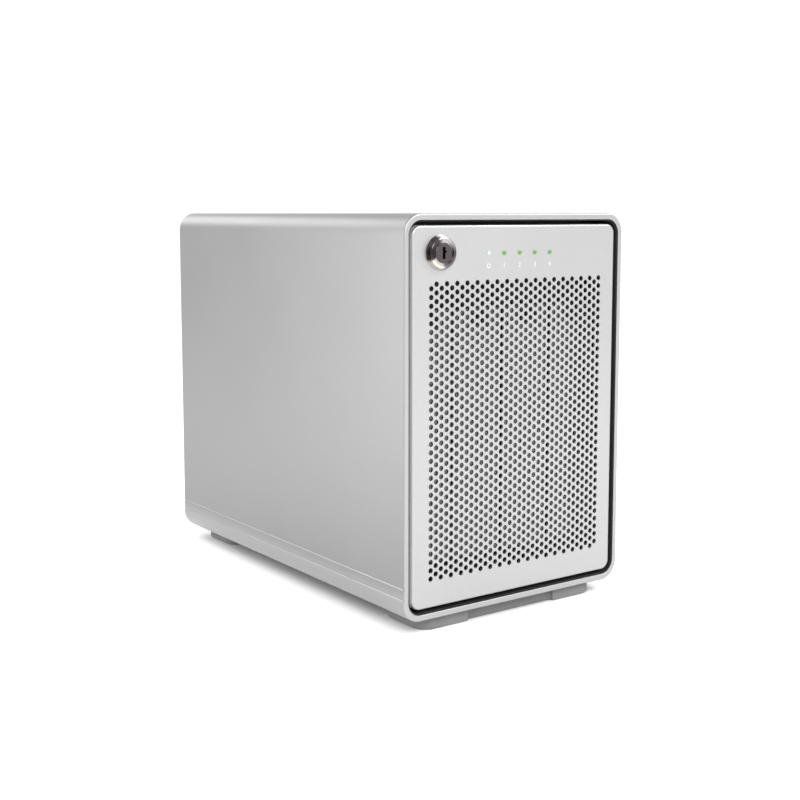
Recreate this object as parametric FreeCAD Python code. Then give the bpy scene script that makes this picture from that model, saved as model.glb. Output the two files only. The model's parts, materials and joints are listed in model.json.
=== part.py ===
"""Four-bay network storage enclosure: an extruded aluminium case with a lockable perforated
front door, four sliding drive trays, a rear fan, a power supply and a controller board.

Millimetres. +X is right seen from the front, +Y is towards the rear, +Z is up. The origin is on
the standing surface, under the middle of the whole outline, lock included.
"""

import FreeCAD, Part
import math
import os

# ---- Case ----
case_height = 187.1
corner_radius = 9.6
side_wall = 2.6
flat_wall = 3.0
rim_edge_radius = 0.9
rim_inner_radius = 0.3
groove_heights = (11.4, 16.6)
groove_width = 0.9
groove_depth = 0.35

# ---- Feet ----
foot_height = 6.5
foot_length = 32.5
foot_inset = 3.5
foot_side_inset = 12.5
foot_corner_radius = 8.0
foot_edge_radius = 0.8
foot_waist_half_width = 27.0
foot_waist_depth = 2.0
foot_waist_edge_radius = 0.9
foot_screw_setback = 21.0
foot_screw_inset = 11.0
foot_screw_sink = 3.2
foot_screw_well = 7.6

# ---- Door ----
door_gap = 2.3
door_recess = 0.5
door_thickness = 1.2
door_edge_radius = 1.1
door_corner_radius = 4.6
door_frame_wall = 1.6
door_frame_depth = 7.4
hole_diameter = 2.5
column_pitch = 2.975
row_pitch = 3.945
grille_side_margin = 10.5
grille_top_margin = 26.6
grille_bottom_margin = 13.6
peg_diameter = 5.0
peg_side_inset = 6.2
peg_low_height = 12.0
peg_high_height = 149.0
peg_tip = 0.8

# ---- Lock ----
lock_from_left = 20.6
lock_from_top = 17.8
lock_flange_base = 16.4
lock_flange_face = 14.2
lock_flange_radius = 1.3
lock_projection = 2.9
lock_barrel_diameter = 12.0
lock_plug_diameter = 9.3
lock_plug_edge_radius = 0.3
lock_dish_diameter = 10.8
lock_face_dish = 0.6
lock_nut_size = 17.0
lock_nut_thickness = 3.0
keyway_width = 1.5
keyway_length = 5.4
keyway_depth = 4.0
warding_rise = 0.6
warding_height = 1.1
cam_reach = 13.5
cam_width = 8.0
cam_thickness = 1.4
cam_gap = 0.7
keeper_gap = 0.6
keeper_sheet = 1.2
keeper_height = 14.0
keeper_bite = 8.0

# ---- Status lights ----
light_count = 5
light_pitch = 9.52
light_first_x = -18.8
light_from_top = 18.5
light_diameter = 1.7
light_bar_height = 6.0
light_bar_thickness = 1.6
light_board_thickness = 1.6
light_board_height = 12.0
light_body = 3.0
light_pipe_gap = 0.6
light_pipe_proud = 0.15

# ---- Drives and trays ----
bay_count = 4
bay_pitch = 30.0
bay_side_space = 7.5
drive_width = 26.1
drive_height = 101.6
drive_length = 147.0
drive_corner_radius = 3.0
drive_lid = 1.0
drive_lid_margin = 1.5
drive_lid_end_margin = 9.0
drive_lid_radius = 5.0
tray_face_depth = 12.0
tray_face_low = 22.5
tray_face_height = 120.0
tray_face_thickness = 2.0
tray_face_radius = 1.5
tray_face_edge_radius = 0.5
tray_gap = 2.6
tray_sheet = 1.3
tray_rail_width = 27.0
tray_rail_end_gap = 2.0
tray_web_margin = 1.0
tray_foot_space = 5.0
drive_setback = 24.0
tray_screw_drop = 5.0
tray_screw_head = 7.4
tray_screw_head_length = 4.0
tray_screw_shank = 3.0
tray_screw_length = 7.0
screw_grip_count = 14
screw_grip_diameter = 0.7
screw_grip_collar = 0.8
tray_screw_slot_width = 1.0
tray_screw_slot_depth = 1.2

# ---- Bezel, cage and chassis ----
seal_wall = 0.5
seal_start = 0.6
bezel_thickness = 2.0
bezel_gap = 0.4
cage_sheet = 1.2
chassis_sheet = 1.5
guide_width = 2.4
guide_height = 3.0
window_margin = 0.6
window_side_inset = 0.2

# ---- Rear of the case ----
backplane_gap = 5.0
backplane_thickness = 1.6
backplane_drop = 2.0
socket_size = (5.0, 42.0)
socket_gap = 0.8
fan_air_gap = 17.2
fan_size = 92.0
fan_depth = 25.0
fan_wall = 2.0
fan_screw_inset = 4.75
fan_centre_height = 80.0
fan_hub = 36.0
fan_blades = 7
fan_blade_thickness = 1.6
fan_blade_pitch = 36.0
fan_blade_chord = 26.0
fan_strut = 4.0
fan_corner_radius = 4.0
fan_tip_gap = 1.0
fan_front_gap = 1.0
fan_rear_gap = 0.6
fan_hub_edge_radius = 2.0
fan_blade_root = 3.0
fan_axle_diameter = 3.0
fan_axle_bore = 2.5
fan_axle_end = 2.0
panel_thickness = 2.0
panel_recess = 4.0
vent_diameter = 3.6
vent_pitch = 4.8
vent_margin = 1.0
boss_diameter = 7.0
boss_length = 18.0
boss_depth = 5.923

# ---- Screws ----
screw_size = 3.0
screw_head = 5.6
screw_head_length = 1.8
screw_length = 10.0
screw_slot_width = 0.9
screw_slot_length = 3.2

# ---- Power ----
supply_size = (81.5, 150.0, 40.5)
inlet_x = 22.0
inlet_body = (27.0, 19.8)
inlet_flange = (31.0, 24.0)
inlet_cavity = (24.0, 16.4)
inlet_cavity_depth = 16.0
inlet_length = 20.0
inlet_flange_thickness = 1.8
inlet_pin_length = 10.0
inlet_pin_size = (2.0, 4.0)
inlet_pin_places = ((-7.0, -1.5), (0.0, 2.5), (7.0, -1.5))
inlet_flange_radius = 2.0
inlet_cavity_chamfer = 4.0
switch_x = -14.0
switch_body = (19.2, 12.8)
switch_flange = (21.2, 15.0)
switch_length = 12.0
switch_flange_thickness = 1.6
rocker_size = (14.4, 8.8)
rocker_play = (2.0, 0.8)
rocker_tilt = 7.0
rocker_edge_radius = 0.4
rocker_pivot_diameter = 2.0
rocker_pivot_depth = 1.0
rocker_pin_reach = 2.0
rocker_face_rise = 2.0
rocker_skirt = 2.4
rocker_taper = 1.2
switch_flange_radius = 1.5
switch_floor = 1.5

# ---- Controller ----
board_standoff = 5.0
board_size = (108.0, 86.0)
board_thickness = 1.6
board_rear_gap = 0.5
standoff_diameter = 6.0
standoff_inset = 5.0
standoff_rear_inset = 25.0
sink_x = 8.0
sink_width = 30.0
sink_setback = 26.0
sink_base = 3.0
sink_height = 10.0
sink_fin_count = 9
sink_fin_thickness = 1.2
sink_fin_pitch = 3.6
port_stands_out = 0.4
network_jack = (16.0, 13.4, 21.0)
network_cavity = (11.8, 8.0, 13.0)
network_floor = 0.9
network_jack_xs = (-34.0, -15.0)
usb_port = (9.2, 3.4, 10.0)
usb_cavity = (8.4, 2.6, 6.5)
usb_floor = 0.4
usb_port_xs = (6.0, 22.0)
security_slot = (3.0, 7.0)
security_slot_x = 46.0
security_slot_height = 22.0

# ---- Fits ----
overrun = 1.0
tolerance = 0.01
running_clearance = 0.05
assembly_clearance = 0.1
cutout_clearance = 0.15

# ---- Depths behind the front edge of the case ----
tray_web_depth = tray_face_depth + tray_face_thickness
bezel_depth = tray_web_depth + tray_sheet + bezel_gap
cage_depth = bezel_depth + bezel_thickness
drive_end_depth = drive_setback + drive_length
backplane_depth = drive_end_depth + backplane_gap
fan_front_depth = backplane_depth + backplane_thickness + fan_air_gap
panel_depth = fan_front_depth + fan_depth
case_depth = panel_depth + panel_thickness + panel_recess

# ---- Places in the part's frame ----
lock_stands_out = lock_projection - door_recess
front_y = (lock_stands_out - case_depth) / 2
rear_y = front_y + case_depth
case_low = foot_height
case_high = case_low + case_height
case_width = bay_count * bay_pitch + 2 * bay_side_space
inner_half_width = case_width / 2 - side_wall
inner_low = case_low + flat_wall
inner_high = case_high - flat_wall
inner_radius = corner_radius - side_wall
boss_inset = corner_radius - (corner_radius - boss_depth) / math.sqrt(2)
door_half_width = inner_half_width - door_gap
door_low = inner_low + door_gap
door_high = inner_high - door_gap
lock_x = lock_from_left - case_width / 2
lock_z = case_high - lock_from_top
light_z = case_high - light_from_top
tray_low = case_low + tray_face_low
tray_high = tray_low + tray_face_height
drive_low = tray_low + tray_foot_space + tray_sheet
drive_high = drive_low + drive_height
bay_half_width = bay_count * bay_pitch / 2
cage_low = drive_low - tray_sheet - running_clearance
cage_high = drive_high + tray_sheet + running_clearance
chassis_top = inner_low + chassis_sheet
board_low = chassis_top + board_standoff
board_high = board_low + board_thickness
supply_low = cage_high + cage_sheet
fan_z = case_low + fan_centre_height
fan_bore = fan_size - 2 * fan_wall
fan_screw_spacing = fan_size - 2 * fan_screw_inset
foot_half_width = case_width / 2 - foot_side_inset
foot_screw_x = foot_half_width - foot_screw_inset
bay_centres = [(bay + 0.5) * bay_pitch - bay_half_width for bay in range(bay_count)]


def vector(x, y, z):
    return FreeCAD.Vector(x, y, z)


def at_depth(depth):
    """The Y of a place that lies this far behind the front edge of the case."""
    return front_y + depth


def between(front, back):
    """The Y range between two depths."""
    return (at_depth(front), at_depth(back))


def around(centre, size):
    """A range of this size about a centre."""
    return (centre - size / 2, centre + size / 2)


def block(x, y, z):
    """A block from its X, Y and Z ranges."""
    return Part.makeBox(x[1] - x[0], y[1] - y[0], z[1] - z[0], vector(x[0], y[0], z[0]))


def edges_along(solid, direction):
    """The straight edges that run along a direction."""
    straight = [edge for edge in solid.Edges if edge.Curve.TypeId == "Part::GeomLine"]
    return [edge for edge in straight if abs(edge.Curve.Direction.dot(direction)) > 0.999]


def rounded_block(x, y, z, radius, direction):
    """A block whose edges along one direction are rounded."""
    solid = block(x, y, z)
    return solid.makeFillet(radius, edges_along(solid, direction))


def rod(x, z, diameter, y):
    """A cylinder along Y."""
    return Part.makeCylinder(diameter / 2, y[1] - y[0], vector(x, y[0], z), vector(0, 1, 0))


def post(x, y, diameter, z):
    """A cylinder along Z."""
    return Part.makeCylinder(diameter / 2, z[1] - z[0], vector(x, y, z[0]))


def edges_at(solid, y):
    """The edges that lie in the plane at this Y."""
    return [edge for edge in solid.Edges if max(abs(vertex.Y - y) for vertex in edge.Vertexes) < 1e-6]


def outer_edges_at(solid, y):
    """The longest closed run of edges in the plane at this Y: the outline of that face."""
    faces = [face for face in solid.Faces if abs(face.BoundBox.YMin - y) + abs(face.BoundBox.YMax - y) < 1e-6]
    return faces[0].OuterWire.Edges


def fused(shapes):
    """One solid made of touching or overlapping shapes."""
    return shapes[0].multiFuse(shapes[1:]).removeSplitter()


def door_ring(inset, y, radius):
    """A rounded block of the door's outline, drawn in by an inset."""
    return rounded_block(
        (inset - door_half_width, door_half_width - inset),
        y,
        (door_low + inset, door_high - inset),
        radius,
        vector(0, 1, 0),
    )


def case_liner(inset, y):
    """A rounded block that fills the case's inside, drawn in by an inset."""
    return rounded_block(
        (inset - inner_half_width, inner_half_width - inset),
        y,
        (inner_low + inset, inner_high - inset),
        inner_radius - inset,
        vector(0, 1, 0),
    )


def staggered_places(width, height, column_step, row_step):
    """Centres of a staggered hole pattern that fills a width and hangs down from its top."""
    columns = int(width / column_step) + 1
    half_rows = int(height / (row_step / 2)) + 1
    first = -(columns - 1) * column_step / 2
    places = []
    for column in range(columns):
        for level in range((column + 1) % 2, half_rows, 2):
            places.append((first + column * column_step, -level * row_step / 2))
    return places


def perforated(solid, places, diameter, y):
    """The solid, a plate across Y, with a round hole at each (x, z) place."""
    outline = [face for face in solid.Faces if abs(face.BoundBox.YMax - y[0]) < 1e-6][0]
    circles = [
        Part.Wire(Part.makeCircle(diameter / 2, vector(x, y[0], z), vector(0, 1, 0))) for x, z in places
    ]
    sheet = Part.Face(outline.OuterWire)
    sheet.cutHoles(circles)
    sheet.validate()
    return sheet.extrude(vector(0, y[1] - y[0], 0))


def boss_places():
    """The (x, z) centres of the four screw bosses in the case's corners."""
    x = case_width / 2 - boss_inset
    return [(side * x, z) for side in (-1, 1) for z in (case_low + boss_inset, case_high - boss_inset)]


def case_pieces():
    """The extruded case, its feet and the black sleeve behind its front edge."""
    length = (front_y, rear_y)
    body = rounded_block(
        (-case_width / 2, case_width / 2), length, (case_low, case_high), corner_radius, vector(0, 1, 0)
    )
    body = body.makeFillet(rim_edge_radius, edges_at(body, front_y) + edges_at(body, rear_y))
    past_case = (front_y - overrun, rear_y + overrun)
    hollow = case_liner(0, past_case)
    bosses = [
        rod(x, z, boss_diameter, (at_depth(panel_depth) - boss_length, at_depth(panel_depth)))
        for x, z in boss_places()
    ]
    shell = body.cut(hollow)
    inner_rim = [edge for edge in edges_at(shell, front_y) if inside_case_opening(edge)]
    shell = shell.makeFillet(rim_inner_radius, inner_rim)
    grooves = []
    for side in (-1, 1):
        for height in groove_heights:
            grooves.append(
                block(
                    around(side * case_width / 2, 2 * groove_depth),
                    past_case,
                    around(case_low + height, groove_width),
                )
            )
    shell = fused([shell.cut(grooves)] + bosses)
    tapped = [
        rod(x, z, screw_size + 2 * running_clearance, (at_depth(panel_depth) - boss_length - overrun, rear_y))
        for x, z in boss_places()
    ]
    shell = shell.cut(tapped)
    past_floor = (case_low - overrun, inner_low + overrun)
    screw_hole = screw_size + 2 * assembly_clearance
    shell = shell.cut([post(x, y, screw_hole, past_floor) for x, y in foot_screw_places()])
    sleeve_y = between(seal_start, bezel_depth)
    sleeve = case_liner(assembly_clearance, sleeve_y)
    sleeve = sleeve.cut(case_liner(assembly_clearance + seal_wall, sleeve_y))
    return {"outer_shell": shell, "front_sleeve": sleeve}


def inside_case_opening(edge):
    """True for an edge that bounds the case's opening, not its outside."""
    box = edge.BoundBox
    half = inner_half_width + tolerance
    within_sides = -half < box.XMin and box.XMax < half
    return within_sides and box.ZMin > inner_low - tolerance and box.ZMax < inner_high + tolerance


def foot_screw_places():
    """The (x, y) centres of the screws that hold the two feet."""
    setback = foot_inset + foot_screw_setback
    ys = (front_y + setback, rear_y - setback)
    return [(side * foot_screw_x, y) for side in (-1, 1) for y in ys]


def foot(outer_y, inward):
    """A rubber foot bar across the case. inward is +1 for the front foot and -1 for the rear one."""
    ys = sorted((outer_y, outer_y + inward * foot_length))
    across = (-foot_half_width, foot_half_width)
    bar = rounded_block(across, ys, (0, case_low), foot_corner_radius, vector(0, 0, 1))
    past_bar = (-overrun, case_low + overrun)
    waist_y = sorted((outer_y - inward * foot_waist_depth, outer_y + inward * foot_waist_depth))
    bar = bar.cut(block((-foot_waist_half_width, foot_waist_half_width), waist_y, past_bar))
    ends = [
        edge
        for edge in edges_along(bar, vector(0, 0, 1))
        if abs(abs(edge.CenterOfMass.x) - foot_waist_half_width) < tolerance
    ]
    bar = bar.makeFillet(foot_waist_edge_radius, ends)
    bar = bar.makeFillet(foot_edge_radius, [edge for edge in bar.Edges if edge.BoundBox.ZMax < tolerance])
    for x, y in foot_screw_places():
        bar = bar.cut(post(x, y, foot_screw_well, (-overrun, foot_screw_sink)))
        bar = bar.cut(post(x, y, screw_size + 2 * assembly_clearance, past_bar))
    return bar


def screw_along_z(x, y, seat_z):
    """A pan-head screw that points up, with its head under seat_z and a cross slot in the head."""
    head = post(x, y, screw_head, (seat_z - screw_head_length, seat_z))
    shank = post(x, y, screw_size, (seat_z, chassis_top))
    slot_z = (seat_z - screw_head_length - overrun, seat_z - screw_head_length / 2)
    slots = [
        block(around(x, screw_slot_width), around(y, screw_slot_length), slot_z),
        block(around(x, screw_slot_length), around(y, screw_slot_width), slot_z),
    ]
    return fused([head, shank]).cut(slots)


def screw_along_y(x, z, seat_y, length):
    """A pan-head screw that points forward, with its head behind seat_y and a cross slot in the head."""
    head = rod(x, z, screw_head, (seat_y, seat_y + screw_head_length))
    shank = rod(x, z, screw_size, (seat_y - length, seat_y))
    slot_y = (seat_y + screw_head_length / 2, seat_y + screw_head_length + overrun)
    slots = [
        block(around(x, screw_slot_width), slot_y, around(z, screw_slot_length)),
        block(around(x, screw_slot_length), slot_y, around(z, screw_slot_width)),
    ]
    return fused([head, shank]).cut(slots)


def foot_pieces():
    """The front and rear feet and the screws that hold them."""
    return {
        "front_foot": foot(front_y + foot_inset, 1),
        "rear_foot": foot(rear_y - foot_inset, -1),
        "foot_screws": [screw_along_z(x, y, foot_screw_sink) for x, y in foot_screw_places()],
    }


def peg_places():
    """The (x, z) centres of the door's locating pegs."""
    x = door_half_width - peg_side_inset
    return [(side * x, case_low + height) for side in (-1, 1) for height in (peg_low_height, peg_high_height)]


def light_xs():
    """The X of each status light."""
    return [light_first_x + number * light_pitch for number in range(light_count)]


def door_pieces():
    """The perforated door plate, the frame and pegs behind it, and its light pipes."""
    plate_y = between(door_recess, door_recess + door_thickness)
    plate = door_ring(0, plate_y, door_corner_radius)
    top = door_high - grille_top_margin
    grille_width = 2 * (door_half_width - grille_side_margin)
    grille_height = top - (door_low + grille_bottom_margin)
    grille = staggered_places(grille_width, grille_height, column_pitch, row_pitch)
    plate = perforated(plate, [(x, top + z) for x, z in grille], hole_diameter, plate_y)
    plate = plate.makeFillet(door_edge_radius, outer_edges_at(plate, plate_y[0]))
    past_plate = (plate_y[0] - overrun, plate_y[1] + overrun)
    light_hole = light_diameter + 2 * assembly_clearance
    plate = plate.cut([rod(x, light_z, light_hole, past_plate) for x in light_xs()])
    plate = plate.cut(rod(lock_x, lock_z, lock_barrel_diameter + 2 * assembly_clearance, past_plate))

    back = plate_y[1]
    frame_y = (back, back + door_frame_depth)
    frame = door_ring(0, frame_y, door_corner_radius).cut(
        door_ring(door_frame_wall, frame_y, door_corner_radius - door_frame_wall)
    )
    pegs = []
    for x, z in peg_places():
        peg = rod(x, z, peg_diameter, (back, at_depth(cage_depth)))
        pegs.append(peg.makeChamfer(peg_tip, edges_at(peg, at_depth(cage_depth))))
    bar_x = (light_xs()[0] - light_pitch / 2, light_xs()[-1] + light_pitch / 2)
    bar = block(bar_x, (back, back + light_bar_thickness), around(light_z, light_bar_height))
    pipe_y = (
        plate_y[0] - light_pipe_proud,
        at_depth(bezel_depth) - light_board_thickness - light_body - light_pipe_gap,
    )
    pipes = [rod(x, light_z, light_diameter, pipe_y) for x in light_xs()]
    return {
        "door_plate": plate,
        "door_frame": frame,
        "door_pegs": pegs,
        "light_pipes": fused([bar] + pipes),
    }


def lock_pieces():
    """The cam lock in the door and the keeper that its cam turns behind."""
    plate_front = at_depth(door_recess)
    plate_back = plate_front + door_thickness
    face_y = plate_front - lock_projection
    cam_back = at_depth(bezel_depth) - keeper_sheet - cam_gap
    cam_front = cam_back - cam_thickness
    barrel_end = cam_front - assembly_clearance
    forward = vector(0, 1, 0)

    flange = Part.makeCone(
        lock_flange_face / 2, lock_flange_base / 2, lock_projection, vector(lock_x, face_y, lock_z), forward
    )
    flange = flange.makeFillet(lock_flange_radius, edges_at(flange, face_y))
    barrel = rod(lock_x, lock_z, lock_barrel_diameter, (plate_front, barrel_end))
    past_lock = (face_y - overrun, barrel_end + overrun)
    plug_bore = rod(lock_x, lock_z, lock_plug_diameter + 2 * running_clearance, past_lock)
    dish = rod(lock_x, lock_z, lock_dish_diameter, (past_lock[0], face_y + lock_face_dish))
    body = fused([flange, barrel]).cut([plug_bore, dish])

    nut_y = (plate_back, plate_back + lock_nut_thickness)
    nut_reach = lock_nut_size / math.sqrt(3)
    nut_corners = []
    for corner in range(7):
        angle = math.radians(60 * corner)
        nut_corners.append(
            vector(lock_x + nut_reach * math.cos(angle), nut_y[0], lock_z + nut_reach * math.sin(angle))
        )
    nut = Part.Face(Part.makePolygon(nut_corners)).extrude(vector(0, lock_nut_thickness, 0))
    past_nut = (nut_y[0] - overrun, nut_y[1] + overrun)
    nut = nut.cut(rod(lock_x, lock_z, lock_barrel_diameter + 2 * running_clearance, past_nut))

    plug_face = face_y + lock_face_dish / 2
    plug = rod(lock_x, lock_z, lock_plug_diameter, (plug_face, cam_front))
    plug = plug.makeFillet(lock_plug_edge_radius, edges_at(plug, plug_face))
    key_y = (face_y - overrun, face_y + keyway_depth)
    keyway = block(around(lock_x, keyway_width), key_y, around(lock_z, keyway_length))
    warding = block((lock_x, lock_x + keyway_width), key_y, around(lock_z + warding_rise, warding_height))
    plug = plug.cut([keyway, warding])

    cam_x = around(lock_x, cam_width)
    arm = block(cam_x, (cam_front, cam_back), (lock_z - cam_reach, lock_z))
    arm = fused([arm, rod(lock_x, lock_z, cam_width, (cam_front, cam_back))])
    screw_hole = rod(lock_x, lock_z, screw_size, (cam_front - overrun, cam_back + overrun))
    cam_screw = rod(lock_x, lock_z, screw_size, (cam_front, cam_back))

    lip_y = (cam_front - keeper_gap - keeper_sheet, cam_front - keeper_gap)
    bezel_front = at_depth(bezel_depth)
    outside = -inner_half_width + seal_wall + 3 * assembly_clearance
    tall = around(lock_z, keeper_height)
    keeper = fused(
        [
            block((outside, outside + keeper_bite), (bezel_front - keeper_sheet, bezel_front), tall),
            block((outside, outside + keeper_sheet), (lip_y[0], bezel_front), tall),
            block((outside, outside + keeper_bite), lip_y, tall),
        ]
    )
    return {
        "lock_body": body,
        "lock_nut": nut,
        "lock_plug": plug,
        "lock_cam": arm.cut(screw_hole),
        "cam_screw": cam_screw,
        "lock_keeper": keeper,
    }


def tray_pieces(number, centre):
    """One drive tray: its frame and face, the drive with its lid, and the captive screw."""
    face_y = between(tray_face_depth, tray_web_depth)
    web_y = between(tray_web_depth, tray_web_depth + tray_sheet)
    rail_y = (web_y[0], at_depth(drive_end_depth) - tray_rail_end_gap)
    face_x = around(centre, bay_pitch - tray_gap)
    rail_x = around(centre, tray_rail_width)
    face = rounded_block(face_x, face_y, (tray_low, tray_high), tray_face_radius, vector(0, 1, 0))
    face = face.makeFillet(tray_face_edge_radius, outer_edges_at(face, face_y[0]))
    screw_z = tray_high - tray_screw_drop
    past_face = (face_y[0] - overrun, web_y[1] + overrun)
    clear_hole = rod(centre, screw_z, tray_screw_shank + 2 * running_clearance, past_face)
    web = block(rail_x, web_y, (tray_low + tray_web_margin, tray_high - tray_web_margin))
    lower_rail = block(rail_x, rail_y, (drive_low - tray_sheet, drive_low))
    upper_rail = block(rail_x, rail_y, (drive_high, drive_high + tray_sheet))
    frame = fused([web, lower_rail, upper_rail])

    drive_y = between(drive_setback, drive_end_depth)
    casting_x = (centre - drive_width / 2, centre + drive_width / 2 - drive_lid)
    lid_x = (casting_x[1], casting_x[1] + drive_lid)
    sideways = vector(1, 0, 0)
    casting = rounded_block(casting_x, drive_y, (drive_low, drive_high), drive_corner_radius, sideways)
    lid_y = (drive_y[0] + drive_lid_margin, drive_y[1] - drive_lid_end_margin)
    lid_z = (drive_low + drive_lid_margin, drive_high - drive_lid_margin)
    lid = rounded_block(lid_x, lid_y, lid_z, drive_lid_radius, sideways)

    head_y = (face_y[0] - tray_screw_head_length, face_y[0])
    head = rod(centre, screw_z, tray_screw_head, head_y)
    grips = []
    for grip in range(screw_grip_count):
        angle = 2 * math.pi * grip / screw_grip_count
        x = centre + tray_screw_head / 2 * math.cos(angle)
        z = screw_z + tray_screw_head / 2 * math.sin(angle)
        grips.append(rod(x, z, screw_grip_diameter, (head_y[0] - overrun, head_y[1] - screw_grip_collar)))
    slot = block(
        around(centre, tray_screw_head + overrun),
        (head_y[0] - overrun, head_y[0] + tray_screw_slot_depth),
        around(screw_z, tray_screw_slot_width),
    )
    shank = rod(centre, screw_z, tray_screw_shank, (head_y[1], head_y[1] + tray_screw_length))
    screw = fused([head.cut(grips + [slot]), shank])
    return {
        f"tray_frame_{number}": frame.cut(clear_hole),
        f"tray_face_{number}": face.cut(clear_hole),
        f"drive_{number}": casting,
        f"drive_lid_{number}": lid,
        f"tray_screw_{number}": screw,
    }


def cage_pieces():
    """The bezel, the drive cage with its tray guides, and the chassis plate under it."""
    bezel_y = between(bezel_depth, cage_depth)
    past_bezel = (bezel_y[0] - overrun, bezel_y[1] + overrun)
    bezel = case_liner(assembly_clearance, bezel_y)
    window_z = (drive_low - tray_sheet - window_margin, drive_high + tray_sheet + window_margin)
    window_half = bay_half_width - window_side_inset
    window = block((-window_half, window_half), past_bezel, window_z)
    bores = [rod(x, z, peg_diameter + 2 * running_clearance, past_bezel) for x, z in peg_places()]
    screw_z = tray_high - tray_screw_drop
    tapped = [rod(x, screw_z, tray_screw_shank + 2 * running_clearance, past_bezel) for x in bay_centres]
    bezel = bezel.cut([window] + bores + tapped)

    cage_y = between(cage_depth, backplane_depth)
    side_x = (bay_half_width, bay_half_width + cage_sheet)
    side_z = (chassis_top, cage_high + cage_sheet)
    room = case_liner(assembly_clearance, cage_y)
    roof_z = (cage_high, cage_high + cage_sheet)
    deck_z = (cage_low - cage_sheet, cage_low)
    across = (-bay_half_width, bay_half_width)
    guides = []
    for line in range(bay_count + 1):
        x = line * bay_pitch - bay_half_width
        guide_x = (max(x - guide_width / 2, across[0]), min(x + guide_width / 2, across[1]))
        guides.append(block(guide_x, cage_y, (cage_low, cage_low + guide_height)))
        guides.append(block(guide_x, cage_y, (cage_high - guide_height, cage_high)))
    chassis_y = (cage_y[0], at_depth(panel_depth) - boss_length)
    chassis = block((-inner_half_width, inner_half_width), chassis_y, (inner_low, chassis_top))
    chassis = chassis.common(case_liner(0, chassis_y))
    screw_holes = [
        post(x, y, screw_size + 2 * running_clearance, (inner_low - overrun, chassis_top + overrun))
        for x, y in foot_screw_places()
    ]
    return {
        "bay_bezel": bezel,
        "cage_left": block((-side_x[1], -side_x[0]), cage_y, side_z).common(room),
        "cage_right": block(side_x, cage_y, side_z).common(room),
        "cage_deck": block(across, cage_y, deck_z),
        "cage_roof": block(across, cage_y, roof_z),
        "tray_guides": guides,
        "chassis_plate": chassis.cut(screw_holes),
    }


def electronics_pieces():
    """The backplane, the controller board with its ports, and the status light board."""
    plane_y = between(backplane_depth, backplane_depth + backplane_thickness)
    middle = (drive_low + drive_high) / 2
    reach = bay_half_width + cage_sheet
    plane = block((-reach, reach), plane_y, (cage_low - backplane_drop, cage_high))
    socket_y = (plane_y[0] - backplane_gap + socket_gap, plane_y[0])
    sockets = []
    for centre in bay_centres:
        sockets.append(block(around(centre, socket_size[0]), socket_y, around(middle, socket_size[1])))

    board_y = (at_depth(panel_depth) - board_size[1], at_depth(panel_depth) - board_rear_gap)
    board = block(around(0, board_size[0]), board_y, (board_low, board_high))
    standoff_x = board_size[0] / 2 - standoff_inset
    standoffs = [
        post(x, y, standoff_diameter, (chassis_top, board_low))
        for x in (-standoff_x, standoff_x)
        for y in (board_y[0] + standoff_inset, board_y[1] - standoff_rear_inset)
    ]
    port_face = at_depth(panel_depth + panel_thickness) + port_stands_out
    jacks = [port(x, network_jack, network_cavity, port_face, network_floor) for x in network_jack_xs]
    usb = [port(x, usb_port, usb_cavity, port_face, usb_floor) for x in usb_port_xs]
    sink_y = around(board_y[0] + sink_setback, sink_width)
    fin_z = (board_high + sink_base, board_high + sink_height)
    sink = [block(around(sink_x, sink_width), sink_y, (board_high, fin_z[0]))]
    for fin in range(sink_fin_count):
        fin_x = sink_x + (fin - (sink_fin_count - 1) / 2) * sink_fin_pitch
        sink.append(block(around(fin_x, sink_fin_thickness), sink_y, fin_z))

    bezel_front = at_depth(bezel_depth)
    light_board_x = (light_xs()[0] - light_pitch, light_xs()[-1] + light_pitch)
    light_board = block(
        light_board_x, (bezel_front - light_board_thickness, bezel_front), around(light_z, light_board_height)
    )
    light_y = (bezel_front - light_board_thickness - light_body, bezel_front - light_board_thickness)
    lights = [block(around(x, light_body), light_y, around(light_z, light_body)) for x in light_xs()]
    return {
        "backplane": plane,
        "drive_sockets": sockets,
        "controller_board": board,
        "board_standoffs": standoffs,
        "network_ports": jacks,
        "usb_ports": usb,
        "heat_sink": fused(sink),
        "light_board": light_board,
        "light_emitters": lights,
    }


def port(x, outside, cavity, face_y, floor):
    """A socket on the controller board, open to the rear. floor is the thickness under its cavity."""
    width, height, length = outside
    shell = block(around(x, width), (face_y - length, face_y), (board_high, board_high + height))
    cavity_z = (board_high + floor, board_high + floor + cavity[1])
    return shell.cut(block(around(x, cavity[0]), (face_y - cavity[2], face_y + overrun), cavity_z))


def supply_z():
    """The height of the power supply's middle, where its inlet and switch sit."""
    return supply_low + supply_size[2] / 2


def panel_cutout(x, z, size, past_panel):
    """A rectangular cut-out in the rear panel with clearance all round."""
    return block(
        around(x, size[0] + 2 * cutout_clearance), past_panel, around(z, size[1] + 2 * cutout_clearance)
    )


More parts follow.
